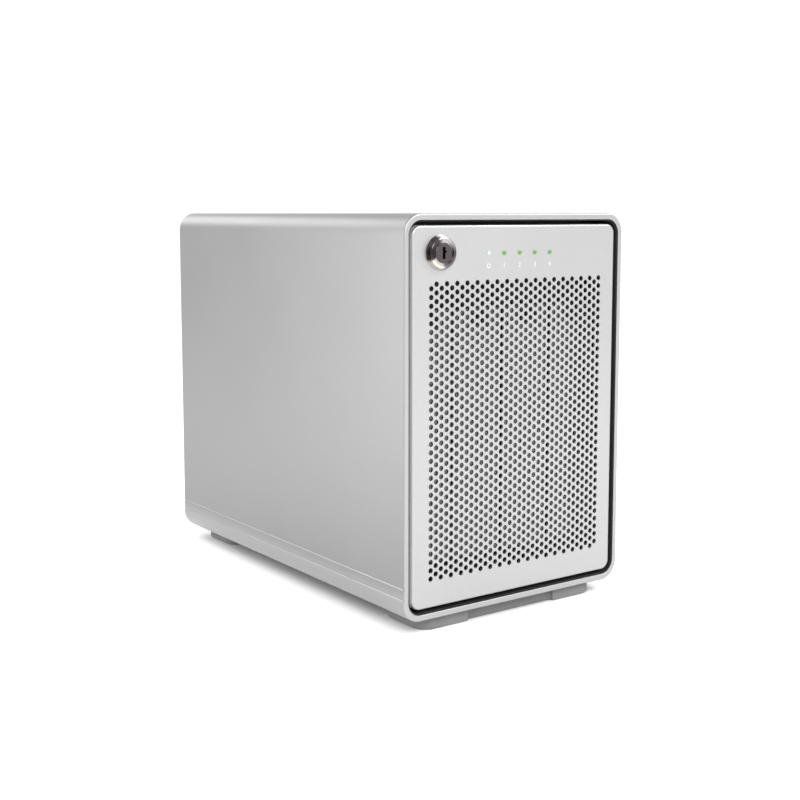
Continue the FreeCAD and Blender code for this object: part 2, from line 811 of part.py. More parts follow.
def rear_pieces():
    """The rear panel with its vent, and the screws that hold it to the case."""
    panel_y = between(panel_depth, panel_depth + panel_thickness)
    past_panel = (panel_y[0] - overrun, panel_y[1] + overrun)
    panel = case_liner(assembly_clearance, panel_y)
    vent = staggered_places(fan_bore, fan_bore, vent_pitch * math.sqrt(3) / 2, vent_pitch)
    reach = (fan_bore - vent_diameter) / 2 - vent_margin
    vent = [(x, fan_z + fan_bore / 2 + z) for x, z in vent]
    vent = [(x, z) for x, z in vent if math.hypot(x, z - fan_z) < reach]
    panel = perforated(panel, vent, vent_diameter, panel_y)
    cuts = [
        panel_cutout(inlet_x, supply_z(), inlet_body, past_panel),
        panel_cutout(switch_x, supply_z(), switch_body, past_panel),
        block(
            around(security_slot_x, security_slot[0]),
            past_panel,
            around(case_low + security_slot_height, security_slot[1]),
        ),
    ]
    for x in network_jack_xs:
        cuts.append(panel_cutout(x, board_high + network_jack[1] / 2, network_jack[:2], past_panel))
    for x in usb_port_xs:
        cuts.append(panel_cutout(x, board_high + usb_port[1] / 2, usb_port[:2], past_panel))
    screw_hole = screw_size + 2 * assembly_clearance
    cuts += [rod(x, z, screw_hole, past_panel) for x, z in boss_places() + fan_screw_places()]
    screws = [screw_along_y(x, z, panel_y[1], screw_length) for x, z in boss_places()]
    fan_screws = [screw_along_y(x, z, panel_y[1], screw_length) for x, z in fan_screw_places()]
    return {"rear_panel": panel.cut(cuts), "panel_screws": screws, "fan_screws": fan_screws}


def fan_screw_places():
    """The (x, z) centres of the fan's four screws."""
    half = fan_screw_spacing / 2
    return [(side * half, fan_z + level * half) for side in (-1, 1) for level in (-1, 1)]


def fan_pieces():
    """The fan's square frame, with its motor plate on struts, and the bladed rotor."""
    fan_y = between(fan_front_depth, panel_depth)
    past_fan = (fan_y[0] - overrun, fan_y[1] + overrun)
    across, tall = around(0, fan_size), around(fan_z, fan_size)
    frame = rounded_block(across, fan_y, tall, fan_corner_radius, vector(0, 1, 0))
    frame = frame.cut(rod(0, fan_z, fan_bore, past_fan))
    strut_y = (fan_y[1] - fan_strut, fan_y[1])
    bore_reach = rod(0, fan_z, fan_bore + overrun, strut_y)
    struts = []
    for turn in (45, 135):
        strut = block(around(0, fan_bore + 2 * overrun), strut_y, around(fan_z, fan_strut))
        strut.rotate(vector(0, 0, fan_z), vector(0, 1, 0), turn)
        struts.append(strut.common(bore_reach))
    frame = fused([frame, rod(0, fan_z, fan_hub, strut_y)] + struts)
    screw_bore = screw_size + 2 * assembly_clearance
    frame = frame.cut([rod(x, z, screw_bore, past_fan) for x, z in fan_screw_places()])
    axle_bore_y = (strut_y[0] - overrun, strut_y[0] + fan_axle_bore)
    frame = frame.cut(rod(0, fan_z, fan_axle_diameter + 2 * running_clearance, axle_bore_y))

    rotor_y = (fan_y[0] + fan_front_gap, strut_y[0] - fan_rear_gap)
    middle_y = (rotor_y[0] + rotor_y[1]) / 2
    hub = rod(0, fan_z, fan_hub, rotor_y)
    hub = hub.makeFillet(fan_hub_edge_radius, edges_at(hub, rotor_y[0]))
    axle = rod(0, fan_z, fan_axle_diameter, (rotor_y[1], strut_y[0] + fan_axle_end))
    tip = fan_bore / 2 - fan_tip_gap
    sweep = rod(0, fan_z, 2 * tip, rotor_y)
    blades = []
    for number in range(fan_blades):
        blade = block(
            (fan_hub / 2 - fan_blade_root, tip + overrun),
            around(middle_y, fan_blade_thickness),
            around(fan_z, fan_blade_chord),
        )
        blade.rotate(vector(0, middle_y, fan_z), vector(1, 0, 0), 90 - fan_blade_pitch)
        blade.rotate(vector(0, middle_y, fan_z), vector(0, 1, 0), 360 * number / fan_blades)
        blades.append(blade.common(sweep))
    return {"fan_frame": frame, "fan_rotor": fused([hub, axle] + blades)}


def power_pieces():
    """The power supply, its mains inlet and its rocker switch."""
    panel_front = at_depth(panel_depth)
    panel_back = panel_front + panel_thickness
    middle = supply_z()
    forward = vector(0, 1, 0)
    supply = block(
        around(0, supply_size[0]),
        (panel_front - supply_size[1], panel_front),
        (supply_low, supply_low + supply_size[2]),
    )

    inlet_face = panel_back + inlet_flange_thickness
    inlet_flange_y = (panel_back, inlet_face)
    inlet_across, inlet_tall = around(inlet_x, inlet_flange[0]), around(middle, inlet_flange[1])
    flange = rounded_block(inlet_across, inlet_flange_y, inlet_tall, inlet_flange_radius, forward)
    inlet_block = block(
        around(inlet_x, inlet_body[0]), (inlet_face - inlet_length, panel_back), around(middle, inlet_body[1])
    )
    cavity_floor = inlet_face - inlet_cavity_depth
    cavity = block(
        around(inlet_x, inlet_cavity[0]),
        (cavity_floor, inlet_face + overrun),
        around(middle, inlet_cavity[1]),
    )
    upper = [edge for edge in edges_along(cavity, forward) if edge.CenterOfMass.z > middle]
    cavity = cavity.makeChamfer(inlet_cavity_chamfer, upper)
    pins = [
        block(
            around(inlet_x + x, inlet_pin_size[0]),
            (cavity_floor, cavity_floor + inlet_pin_length),
            around(middle + rise, inlet_pin_size[1]),
        )
        for x, rise in inlet_pin_places
    ]
    inlet = fused([fused([flange, inlet_block]).cut(cavity)] + pins)

    switch_face = panel_back + switch_flange_thickness
    switch_flange_y = (panel_back, switch_face)
    switch_across, switch_tall = around(switch_x, switch_flange[0]), around(middle, switch_flange[1])
    flange = rounded_block(switch_across, switch_flange_y, switch_tall, switch_flange_radius, forward)
    switch_block = block(
        around(switch_x, switch_body[0]),
        (switch_face - switch_length, panel_back),
        around(middle, switch_body[1]),
    )
    well_size = (rocker_size[0] + rocker_play[0], rocker_size[1] + rocker_play[1])
    well = block(
        around(switch_x, well_size[0]),
        (switch_face - switch_length + switch_floor, switch_face + overrun),
        around(middle, well_size[1]),
    )
    pivot_y = panel_back - rocker_pivot_depth
    pin_z = around(middle, well_size[1] + rocker_pin_reach)
    bore_z = around(middle, well_size[1] + rocker_pin_reach + overrun)
    pivot_bore = post(switch_x, pivot_y, rocker_pivot_diameter + 2 * running_clearance, bore_z)
    return {
        "power_supply": supply.cut([inlet_block, switch_block]),
        "power_inlet": inlet,
        "switch_frame": fused([flange, switch_block]).cut([well, pivot_bore]),
        "power_rocker": fused(
            [rocker_shape(middle, pivot_y), post(switch_x, pivot_y, rocker_pivot_diameter, pin_z)]
        ),
    }


def rocker_shape(middle, pivot_y):
    """The rocker's body: two faces that meet in a shallow V, tipped so that one side is pressed."""
    half = rocker_size[0] / 2
    face_y = pivot_y + rocker_face_rise
    skirt_y = pivot_y - rocker_skirt
    rise = half * math.tan(math.radians(rocker_tilt))
    outline = [
        (switch_x - half, face_y + 2 * rise),
        (switch_x, face_y),
        (switch_x + half, face_y),
        (switch_x + half - rocker_taper, skirt_y),
        (switch_x - half + rocker_taper, skirt_y),
    ]
    corners = [vector(x, y, middle - rocker_size[1] / 2) for x, y in outline]
    body = Part.Face(Part.makePolygon(corners + corners[:1])).extrude(vector(0, 0, rocker_size[1]))
    outer = [edge for edge in body.Edges if edge.CenterOfMass.y > pivot_y + rocker_face_rise / 2]
    return body.makeFillet(rocker_edge_radius, outer)


def all_pieces():
    """Every node of the model, by name."""
    pieces = {}
    for group in (
        case_pieces(),
        foot_pieces(),
        door_pieces(),
        lock_pieces(),
        cage_pieces(),
        electronics_pieces(),
        rear_pieces(),
        fan_pieces(),
        power_pieces(),
    ):
        pieces.update(group)
    for number, centre in enumerate(bay_centres, start=1):
        pieces.update(tray_pieces(number, centre))
    return pieces


def write_pieces():
    """Write each node to its own STEP file, after checking that its solids are sound."""
    os.makedirs("parts", exist_ok=True)
    pieces = all_pieces()
    for name, shape in pieces.items():
        solids = shape if isinstance(shape, list) else [shape]
        for solid in solids:
            if not solid.isValid() or solid.Volume <= 0:
                raise ValueError(f"{name} is not a sound solid")
        whole = solids[0] if len(solids) == 1 else Part.makeCompound(solids)
        whole.exportStep(os.path.join("parts", f"{name}.step"))
    print(f"{len(pieces)} nodes, case {case_width:.1f} x {case_depth:.1f} x {case_high:.1f} mm")


write_pieces()
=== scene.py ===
"""Looks of a four-bay network storage enclosure: finishes, finer pieces, stage and camera."""

import json
import math

import bmesh
import bpy
from mathutils import Matrix, Vector


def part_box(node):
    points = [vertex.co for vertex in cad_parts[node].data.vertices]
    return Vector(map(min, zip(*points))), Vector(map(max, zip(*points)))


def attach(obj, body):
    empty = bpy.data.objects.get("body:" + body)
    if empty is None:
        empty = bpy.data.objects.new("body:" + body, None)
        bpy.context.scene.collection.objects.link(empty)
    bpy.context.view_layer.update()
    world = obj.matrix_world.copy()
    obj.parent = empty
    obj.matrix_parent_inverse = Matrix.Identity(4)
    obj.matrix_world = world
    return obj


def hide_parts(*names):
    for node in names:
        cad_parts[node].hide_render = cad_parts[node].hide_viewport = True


bl_info = {
    "name": "Storage enclosure looks",
    "version": (1, 0, 0),
    "blender": (4, 5, 0),
    "location": "3D View > Sidebar > Enclosure",
    "description": "Finishes and detailed pieces for a four-bay network storage enclosure",
    "category": "Object",
}

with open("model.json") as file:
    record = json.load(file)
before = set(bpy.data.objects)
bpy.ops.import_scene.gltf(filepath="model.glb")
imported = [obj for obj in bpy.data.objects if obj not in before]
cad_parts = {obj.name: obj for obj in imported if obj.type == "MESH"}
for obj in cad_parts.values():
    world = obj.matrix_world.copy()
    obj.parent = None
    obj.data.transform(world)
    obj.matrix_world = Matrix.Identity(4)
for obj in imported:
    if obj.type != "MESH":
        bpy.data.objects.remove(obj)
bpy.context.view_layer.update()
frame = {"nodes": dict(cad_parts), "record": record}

BAYS = (1, 2, 3, 4)
LIGHT_COUNT = 5

# How far the case's painted light and painted shade, and the door plate's matte returns, reach from
# their edges: painted light on the case's front and rear faces, the matte returns, painted shade on
# the underside and painted light on the lower rounding
PAINTED_LIGHT_DEPTH = 0.0002
RETURN_WIDTH = 0.00035
PAINTED_SHADE_RISE = 0.0003
PAINTED_LIGHT_RISE = 0.016

# Heights of the grooves in the case's sides over its underside
GROOVE_RISES = (0.0114, 0.0166)

# Half the thickness of printed marks
INK = 0.00003

# Steps in a round mark's outline
MARK_STEPS = 28

# Middles of the ports across the case
NETWORK_XS = (-0.034, -0.015)
USB_XS = (0.006, 0.022)

# Places of a drive's label and its spindle along the lid from its front, and the label's thickness
LABEL_PLACE = 0.036
SPINDLE_PLACE = 0.085
LABEL_THICKNESS = 0.00008

# Place of a drive's circuit board from the drive's rear, and its thickness
DRIVE_BOARD_PLACE = 0.052
DRIVE_BOARD_THICKNESS = 0.0009

# Painted reflections and highlights round the lock's ring: tones by the share of a turn from its
# left side, downward first
LOCK_PAINTED_REFLECTIONS = (
    (0.00, (0.035, 0.028, 0.030)),
    (0.06, (0.045, 0.036, 0.038)),
    (0.09, (0.60, 0.55, 0.50)),
    (0.22, (0.62, 0.58, 0.53)),
    (0.28, (0.16, 0.14, 0.145)),
    (0.52, (0.10, 0.09, 0.095)),
    (0.66, (0.52, 0.50, 0.50)),
    (0.76, (0.60, 0.58, 0.58)),
    (0.82, (0.10, 0.085, 0.09)),
    (1.00, (0.035, 0.028, 0.030)),
)


# ---------------------------------------------------------------- settings


class StageSettings(bpy.types.PropertyGroup):
    """Camera, floor and lights."""

    camera_left: bpy.props.FloatProperty(
        name="Camera left", description="How far left of the case's middle the camera stands",
        default=0.3917, unit="LENGTH",
    )
    camera_front: bpy.props.FloatProperty(
        name="Camera front",
        description="How far in front of the case's front edge the camera stands",
        default=0.4505, unit="LENGTH",
    )
    camera_height: bpy.props.FloatProperty(
        name="Camera height", description="Height of the camera over the underside of the case",
        default=0.1868, unit="LENGTH",
    )
    camera_turn: bpy.props.FloatProperty(
        name="Camera turn", description="Turn of the camera about the vertical",
        default=math.radians(-35.55), unit="ROTATION",
    )
    camera_dip: bpy.props.FloatProperty(
        name="Camera dip", description="Angle of the camera below the horizon",
        default=math.radians(6.16), unit="ROTATION",
    )
    camera_lens: bpy.props.FloatProperty(
        name="Lens", description="Focal length of the camera in millimetres", default=56.45,
    )
    camera_shift: bpy.props.FloatProperty(
        name="Shift", description="Vertical shift of the camera's picture", default=-0.0635,
    )
    floor_color: bpy.props.FloatVectorProperty(
        name="Floor", description="Colour of the floor", subtype="COLOR",
        default=(0.93, 0.93, 0.93),
    )
    room_light: bpy.props.FloatProperty(
        name="Room light", description="Strength of the even light from all round", default=1.20,
    )
    key_power: bpy.props.FloatProperty(
        name="Key light", description="Power of the soft light high in front, on the right",
        default=12.0, unit="POWER",
    )
    side_power: bpy.props.FloatProperty(
        name="Side light", description="Power of the soft card beside the case",
        default=1.3, unit="POWER",
    )
    rear_power: bpy.props.FloatProperty(
        name="Rear light",
        description="Power of the soft light behind, that picks out the top edge",
        default=3.5, unit="POWER",
    )
    fill_power: bpy.props.FloatProperty(
        name="Fill light", description="Power of the soft light in front, on the left",
        default=13.0, unit="POWER",
    )


class FinishSettings(bpy.types.PropertyGroup):
    """Colours of the enclosure's finishes."""

    case_color: bpy.props.FloatVectorProperty(
        name="Case", description="Colour of the anodised case", subtype="COLOR",
        default=(0.262, 0.262, 0.263),
    )
    # Painted light: the case's front and rear faces take a lighter colour than its sides
    rim_color: bpy.props.FloatVectorProperty(
        name="Painted face light", description="Colour of the painted light on the case's front and rear faces", subtype="COLOR",
        default=(0.400, 0.400, 0.401),
    )
    door_color: bpy.props.FloatVectorProperty(
        name="Door", description="Colour of the anodised door", subtype="COLOR",
        default=(0.440, 0.441, 0.442),
    )
    # The side lines are polished, and their lighter colour is a painted highlight
    line_color: bpy.props.FloatVectorProperty(
        name="Side lines", description="Colour of the polished lines along the sides, lighter as a painted highlight",
        subtype="COLOR", default=(0.40, 0.40, 0.40),
    )
    tray_color: bpy.props.FloatVectorProperty(
        name="Tray faces", description="Colour of the tray faces", subtype="COLOR",
        default=(0.30, 0.30, 0.305),
    )
    foot_color: bpy.props.FloatVectorProperty(
        name="Feet", description="Colour of the rubber feet", subtype="COLOR",
        default=(0.160, 0.160, 0.162),
    )
    lit_color: bpy.props.FloatVectorProperty(
        name="Lit lights", description="Colour of the lit status lights", subtype="COLOR",
        default=(0.06, 0.20, 0.012),
    )
    lit_strength: bpy.props.FloatProperty(
        name="Light strength", description="Brightness of the lit status lights",
        default=0.15, min=0.0,
    )


class DetailSettings(bpy.types.PropertyGroup):
    """Sizes of the finer pieces."""

    lens_diameter: bpy.props.FloatProperty(
        name="Lens", description="Diameter of a status light's lens", default=0.0021, unit="LENGTH",
    )
    lens_rise: bpy.props.FloatProperty(
        name="Lens rise", description="How far a lens bulges out of the door",
        default=0.00035, unit="LENGTH",
    )
    numeral_height: bpy.props.FloatProperty(
        name="Numeral", description="Height of the bay numbers under the lights", default=0.0021,
        unit="LENGTH",
    )
    numeral_drop: bpy.props.FloatProperty(
        name="Numeral drop", description="How far the bay numbers sit below the lights",
        default=0.0058, unit="LENGTH",
    )
    line_width: bpy.props.FloatProperty(
        name="Side line", description="Width of the bright-cut lines along the sides",
        default=0.0009, unit="LENGTH",
    )
    knurl_teeth: bpy.props.IntProperty(
        name="Knurl teeth", description="Teeth round the head of a tray screw", default=44, min=12,
    )
    seal_width: bpy.props.FloatProperty(
        name="Door seal", description="Width of the foam seal behind the door", default=0.0016,
        unit="LENGTH",
    )
    blade_count: bpy.props.IntProperty(
        name="Fan blades", description="Number of the fan's blades", default=7, min=3,
    )


def stage_settings():
    return bpy.context.scene.enclosure_stage


def finish_settings():
    return bpy.context.scene.enclosure_finish


def detail_settings():
    return bpy.context.scene.enclosure_detail


# ---------------------------------------------------------------- shader helpers


class Wire:
    """A shader socket that takes part in Python arithmetic."""

    def __init__(self, shader, socket):
        self.shader = shader
        self.socket = socket

    def math(self, operation, *terms):
        return self.shader.wire("ShaderNodeMath", {"operation": operation}, dict(enumerate(terms)))

    def __add__(self, other):
        return self.math("ADD", self, other)

    __radd__ = __add__

    def __sub__(self, other):
        return self.math("SUBTRACT", self, other)

    def __rsub__(self, other):
        return self.math("SUBTRACT", other, self)

    def __mul__(self, other):
        return self.math("MULTIPLY", self, other)

    __rmul__ = __mul__

    def __gt__(self, limit):
        return self.math("GREATER_THAN", self, limit)

    def __lt__(self, limit):
        return self.math("LESS_THAN", self, limit)


class Shader:
    """A material under construction, with one Principled shader."""

    def __init__(self, name):
        self.material = bpy.data.materials.new(name)
        self.material.use_nodes = True
        self.tree = self.material.node_tree
        self.surface = self.tree.nodes["Principled BSDF"]
        self.place = self.wire("ShaderNodeTexCoord", output="Object")

    def node(self, kind, settings=None, inputs=None):
        """A node of a kind, with its settings made first and then its sockets' values or links."""
        made = self.tree.nodes.new(kind)
        for name, value in (settings or {}).items():
            setattr(made, name, value)
        for name, value in (inputs or {}).items():
            self.join(made.inputs[name], value)
        return made

    def wire(self, kind, settings=None, inputs=None, output=0):
        """A node's output as a wire."""
        return Wire(self, self.node(kind, settings, inputs).outputs[output])

    def join(self, socket, value):
        if isinstance(value, Wire):
            self.tree.links.new(value.socket, socket)
        else:
            socket.default_value = value

    def set(self, **values):
        """Values or wires for the Principled shader's sockets, named with _ for a space."""
        for name, value in values.items():
            self.join(self.surface.inputs[name.replace("_", " ")], value)
        return self.material

    def noise(self, scale, detail=2.0, roughness=0.5, place=None):
        """Soft noise from 0 to 1."""
        inputs = {"Scale": scale, "Detail": detail, "Roughness": roughness}
        inputs["Vector"] = place or self.place
        return self.wire("ShaderNodeTexNoise", None, inputs, "Fac")

    def cells(self, scale):
        """Random grey cells."""
        inputs = {"Vector": self.place, "Scale": scale}
        return self.wire("ShaderNodeTexVoronoi", {"feature": "F1"}, inputs, "Distance")

    def stretched(self, x, y, z):
        """The object's coordinates scaled along each axis, for grain that runs one way."""
        inputs = {"Vector": self.place, "Scale": (x, y, z)}
        return self.wire("ShaderNodeMapping", {"vector_type": "POINT"}, inputs)

    def along(self, axis):
        """One coordinate of the place on the object, in metres."""
        return self.wire("ShaderNodeSeparateXYZ", None, {"Vector": self.place}, axis)

    def mixed(self, factor, first, second):
        """A blend of two colours."""
        inputs = {"Factor": factor, 6: first, 7: second}
        return self.wire("ShaderNodeMix", {"data_type": "RGBA"}, inputs, 2)

    def set_ramp(self, ramp, stops):
        """Give a colour ramp its (place, colour) stops."""
        stages = ramp.color_ramp.elements
        while len(stages) < len(stops):
            stages.new(0.5)
        for stage, (place, color) in zip(stages, stops):
            stage.position = place
            stage.color = tone(color)

    def bump(self, height, distance, strength=1.0):
        """A normal that stands for fine relief."""
        inputs = {"Height": height, "Distance": distance, "Strength": strength}
        return self.wire("ShaderNodeBump", None, inputs, "Normal")


def tone(color, factor=1.0):
    """A colour made lighter or darker, with an alpha of one."""
    return (*(min(1.0, channel * factor) for channel in color[:3]), 1.0)


# ---------------------------------------------------------------- finishes


def blasting(made):
    """The colour share, the change of roughness and the normal of a bead-blasted face."""
    cloud = made.noise(22.0, 3.0)
    grain = made.noise(2600.0, 2.0)
    speck = made.noise(900.0, 2.0)
    change = 0.10 * (grain - 0.5) + 0.05 * (cloud - 0.5)
    return 0.5 * cloud + 0.5 * speck, change, made.bump(grain, 0.00002, 0.35)


def blasted_aluminium(name, color, roughness=0.42):
    """Bead-blasted, anodised aluminium: a fine even grain and very faint cloudiness."""
    made = Shader(name)
    share, change, normal = blasting(made)
    return made.set(
        Base_Color=made.mixed(share, tone(color, 0.93), tone(color, 1.07)),
        Metallic=1.0,
        Roughness=roughness + change,
        Normal=normal,
    )


def case_aluminium(name, color, rim_color):
    """The blasted case, with painted light that lightens its front and rear faces and its lower
    rounding, and painted shade that makes its underside a matte near-black.
    """
    made = Shader(name)
    low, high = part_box("outer_shell")
    place = made.along("Y")
    height = made.along("Z") - low.z
    # Painted light: a lighter colour on the front and rear faces
    painted_light_faces = (place < low.y + PAINTED_LIGHT_DEPTH) + (place > high.y - PAINTED_LIGHT_DEPTH)
    # Painted shade: the underside is a matte near-black instead of metal
    under = height < PAINTED_SHADE_RISE
    # Painted light: the sides grow paler towards the bottom, over the lowest 16 mm above the
    # underside
    lower_painted_light = made.wire("ShaderNodeClamp", None, {"Value": 1.0 - height * (1.0 / PAINTED_LIGHT_RISE)})
    share, change, normal = blasting(made)
    blasted = made.mixed(share, tone(color, 0.93), tone(color, 1.07))
    blasted = made.mixed(lower_painted_light, blasted, tone(color, 1.75))
    # The lighter tone of the front and rear faces is painted light
    cut = made.mixed(share, tone(rim_color, 0.96), tone(rim_color, 1.04))
    metal = made.mixed(painted_light_faces, blasted, cut)
    return made.set(
        # The underside's painted shade takes the place of the metal
        Base_Color=made.mixed(under, metal, (0.012, 0.012, 0.012, 1.0)),
        Metallic=1.0 - under,
        Roughness=0.42 + change + 0.4 * under,
        Normal=normal,
    )


def door_aluminium(name, color):
    """The blasted door plate, with matte returns down its two sides."""
    made = Shader(name)
    low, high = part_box("door_plate")
    place = made.along("X")
    side = (place < low.x + RETURN_WIDTH) + (place > high.x - RETURN_WIDTH)
    share, change, normal = blasting(made)
    blasted = made.mixed(share, tone(color, 0.93), tone(color, 1.07))
    return made.set(
        Base_Color=made.mixed(side, blasted, (0.42, 0.42, 0.42, 1.0)),
        Metallic=1.0 - 0.85 * side,
        Roughness=0.42 + change + 0.2 * side,
        Normal=normal,
    )


def satin_aluminium(name, color):
    """Satin-anodised aluminium, more matte than the blasted faces, and paler as painted light where
    it shows in the gap beside the door.
    """
    made = Shader(name)
    cloud = made.noise(30.0, 3.0)
    grain = made.noise(2200.0, 2.0)
    return made.set(
        Base_Color=made.mixed(0.5 * cloud + 0.5 * grain, tone(color, 0.94), tone(color, 1.05)),
        Metallic=0.15,
        Roughness=0.62 + 0.10 * (grain - 0.5),
        Normal=made.bump(grain, 0.00002, 0.3),
    )


def lock_bezel_chrome(name):
    """Dark chrome round the lock, with painted reflections and highlights set by the angle round
    the ring.
    """
    made = Shader(name)
    low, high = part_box("lock_body")
    across = made.along("X") - (low.x + high.x) / 2
    up = made.along("Z") - (low.z + high.z) / 2
    wipes = made.noise(1.0, 3.0, 0.6, made.stretched(260.0, 90.0, 260.0))
    # The angle round the ring picks painted reflections and highlights from the ramp
    turn = made.wire("ShaderNodeMath", {"operation": "ARCTAN2"}, {0: up, 1: across})
    share = turn * (0.5 / math.pi) + 0.5 + 0.03 * (wipes - 0.5)
    ramp = made.node("ShaderNodeValToRGB", None, {"Fac": share})
    made.set_ramp(ramp, LOCK_PAINTED_REFLECTIONS)
    return made.set(
        Base_Color=Wire(made, ramp.outputs["Color"]),
        Metallic=1.0,
        Roughness=0.12 + 0.10 * (wipes - 0.4),
    )


def brushed_metal(name, color, roughness=0.34, along="Y"):
    """Sheet metal brushed along one axis."""
    made = Shader(name)
    fine, coarse = 3200.0, 60.0
    scales = {"X": (coarse, fine, fine), "Y": (fine, coarse, fine), "Z": (fine, fine, coarse)}
    lines = made.noise(1.0, 3.0, 0.6, made.stretched(*scales[along]))
    cloud = made.noise(30.0)
    return made.set(
        Base_Color=made.mixed(lines, tone(color, 0.88), tone(color, 1.10)),
        Metallic=1.0,
        Roughness=roughness + 0.14 * (lines - 0.5) + 0.06 * (cloud - 0.5),
        Normal=made.bump(lines, 0.00002, 0.4),
    )


def zinc_sheet(name, color, roughness=0.42):
    """Zinc-plated sheet steel with its crystal spangle."""
    made = Shader(name)
    spangle = made.cells(170.0)
    rolled = made.noise(1.0, 3.0, 0.5, made.stretched(900.0, 40.0, 900.0))
    return made.set(
        Base_Color=made.mixed(0.6 * spangle + 0.4 * rolled, tone(color, 0.84), tone(color, 1.14)),
        Metallic=1.0,
        Roughness=roughness + 0.16 * (spangle - 0.3),
        Normal=made.bump(rolled, 0.00003, 0.3),
    )


def powder_coat(name, color, roughness=0.55):
    """Powder-coated sheet: an orange-peel skin."""
    made = Shader(name)
    peel = made.noise(900.0, 2.0)
    speck = made.noise(3800.0, 1.0)
    return made.set(
        Base_Color=made.mixed(speck, tone(color, 0.80), tone(color, 1.25)),
        Roughness=roughness + 0.14 * (peel - 0.5),
        Normal=made.bump(peel, 0.00006, 0.5),
    )


def moulded_plastic(name, color, roughness=0.5, texture=1600.0):
    """Injection-moulded plastic with a fine spark-eroded texture."""
    made = Shader(name)
    spark = made.noise(texture, 2.0)
    flow = made.noise(45.0)
    return made.set(
        Base_Color=made.mixed(flow, tone(color, 0.88), tone(color, 1.14)),
        Roughness=roughness + 0.12 * (spark - 0.5),
        Normal=made.bump(spark, 0.00004, 0.4),
    )


def rubber(name, color):
    """Matte rubber with a dusty bloom."""
    made = Shader(name)
    pores = made.noise(1400.0, 3.0)
    bloom = made.noise(60.0, 4.0, 0.6)
    return made.set(
        Base_Color=made.mixed(bloom, tone(color, 0.84), tone(color, 1.18)),
        Roughness=0.80 + 0.12 * (pores - 0.5),
        Normal=made.bump(pores, 0.00008, 0.5),
    )


def foam(name, color):
    """Closed-cell foam."""
    made = Shader(name)
    bubbles = made.cells(1500.0)
    return made.set(
        Base_Color=made.mixed(bubbles, tone(color, 0.5), tone(color, 1.4)),
        Roughness=0.88 + 0.1 * (bubbles - 0.4),
        Normal=made.bump(bubbles, 0.0002, 0.7),
    )


def polished_metal(name, color, roughness=0.09):
    """Plated or polished metal with faint wipe marks."""
    made = Shader(name)
    wipes = made.noise(1.0, 3.0, 0.6, made.stretched(220.0, 60.0, 420.0))
    haze = made.noise(90.0, 2.0)
    return made.set(
        Base_Color=made.mixed(0.5 * wipes + 0.5 * haze, tone(color, 0.93), tone(color, 1.05)),
        Metallic=1.0,
        Roughness=roughness + 0.07 * (wipes - 0.4),
    )


def cast_metal(name, color, roughness=0.55):
    """A die casting with its slightly pitted skin."""
    made = Shader(name)
    pits = made.noise(1100.0, 4.0, 0.7)
    flow = made.noise(35.0, 3.0)
    return made.set(
        Base_Color=made.mixed(0.5 * flow + 0.5 * pits, tone(color, 0.80), tone(color, 1.2)),
        Metallic=1.0,
        Roughness=roughness + 0.2 * (pits - 0.5),
        Normal=made.bump(pits, 0.00012, 0.6),
    )


def solder_mask(name, color):
    """A circuit board: tracks under a glossy solder mask."""
    made = Shader(name)
    bricks = {"Vector": made.place, "Scale": 260.0, "Mortar Size": 0.03}
    tracks = made.wire("ShaderNodeTexBrick", {"offset": 0.37, "squash": 1.6}, bricks, "Fac")
    cloth = made.noise(1900.0, 2.0)
    return made.set(
        Base_Color=made.mixed(tracks, tone(color, 0.9), tone(color, 1.9)),
        Roughness=0.30 + 0.1 * (cloth - 0.5),
        Normal=made.bump(0.8 * tracks + 0.2 * cloth, 0.00004, 0.6),
    )


def clear_plastic(name, color):
    """Clear acrylic with a slightly milky body."""
    made = Shader(name)
    ripple = made.noise(400.0, 2.0)
    return made.set(
        Base_Color=made.mixed(ripple, tone(color, 0.92), tone(color, 1.05)),
        Roughness=0.12 + 0.08 * ripple,
        Coat_Weight=0.4,
    )


def lit_plastic(name, color, strength):
    """A lens lit from behind, brighter in its middle grain."""
    made = Shader(name)
    grain = made.noise(2400.0, 2.0)
    glow = made.mixed(grain, tone(color, 0.85), tone(color, 1.15))
    return made.set(
        Base_Color=glow,
        Roughness=0.22 + 0.1 * grain,
        Emission_Color=glow,
        Emission_Strength=strength,
        Coat_Weight=0.5,
    )


def printed_ink(name, color):
    """Screen-printed ink with a slightly rough film."""
    made = Shader(name)
    film = made.noise(3000.0, 2.0)
    return made.set(
        Base_Color=made.mixed(film, tone(color, 0.92), tone(color, 1.04)),
        Roughness=0.5 + 0.2 * (film - 0.5),
    )


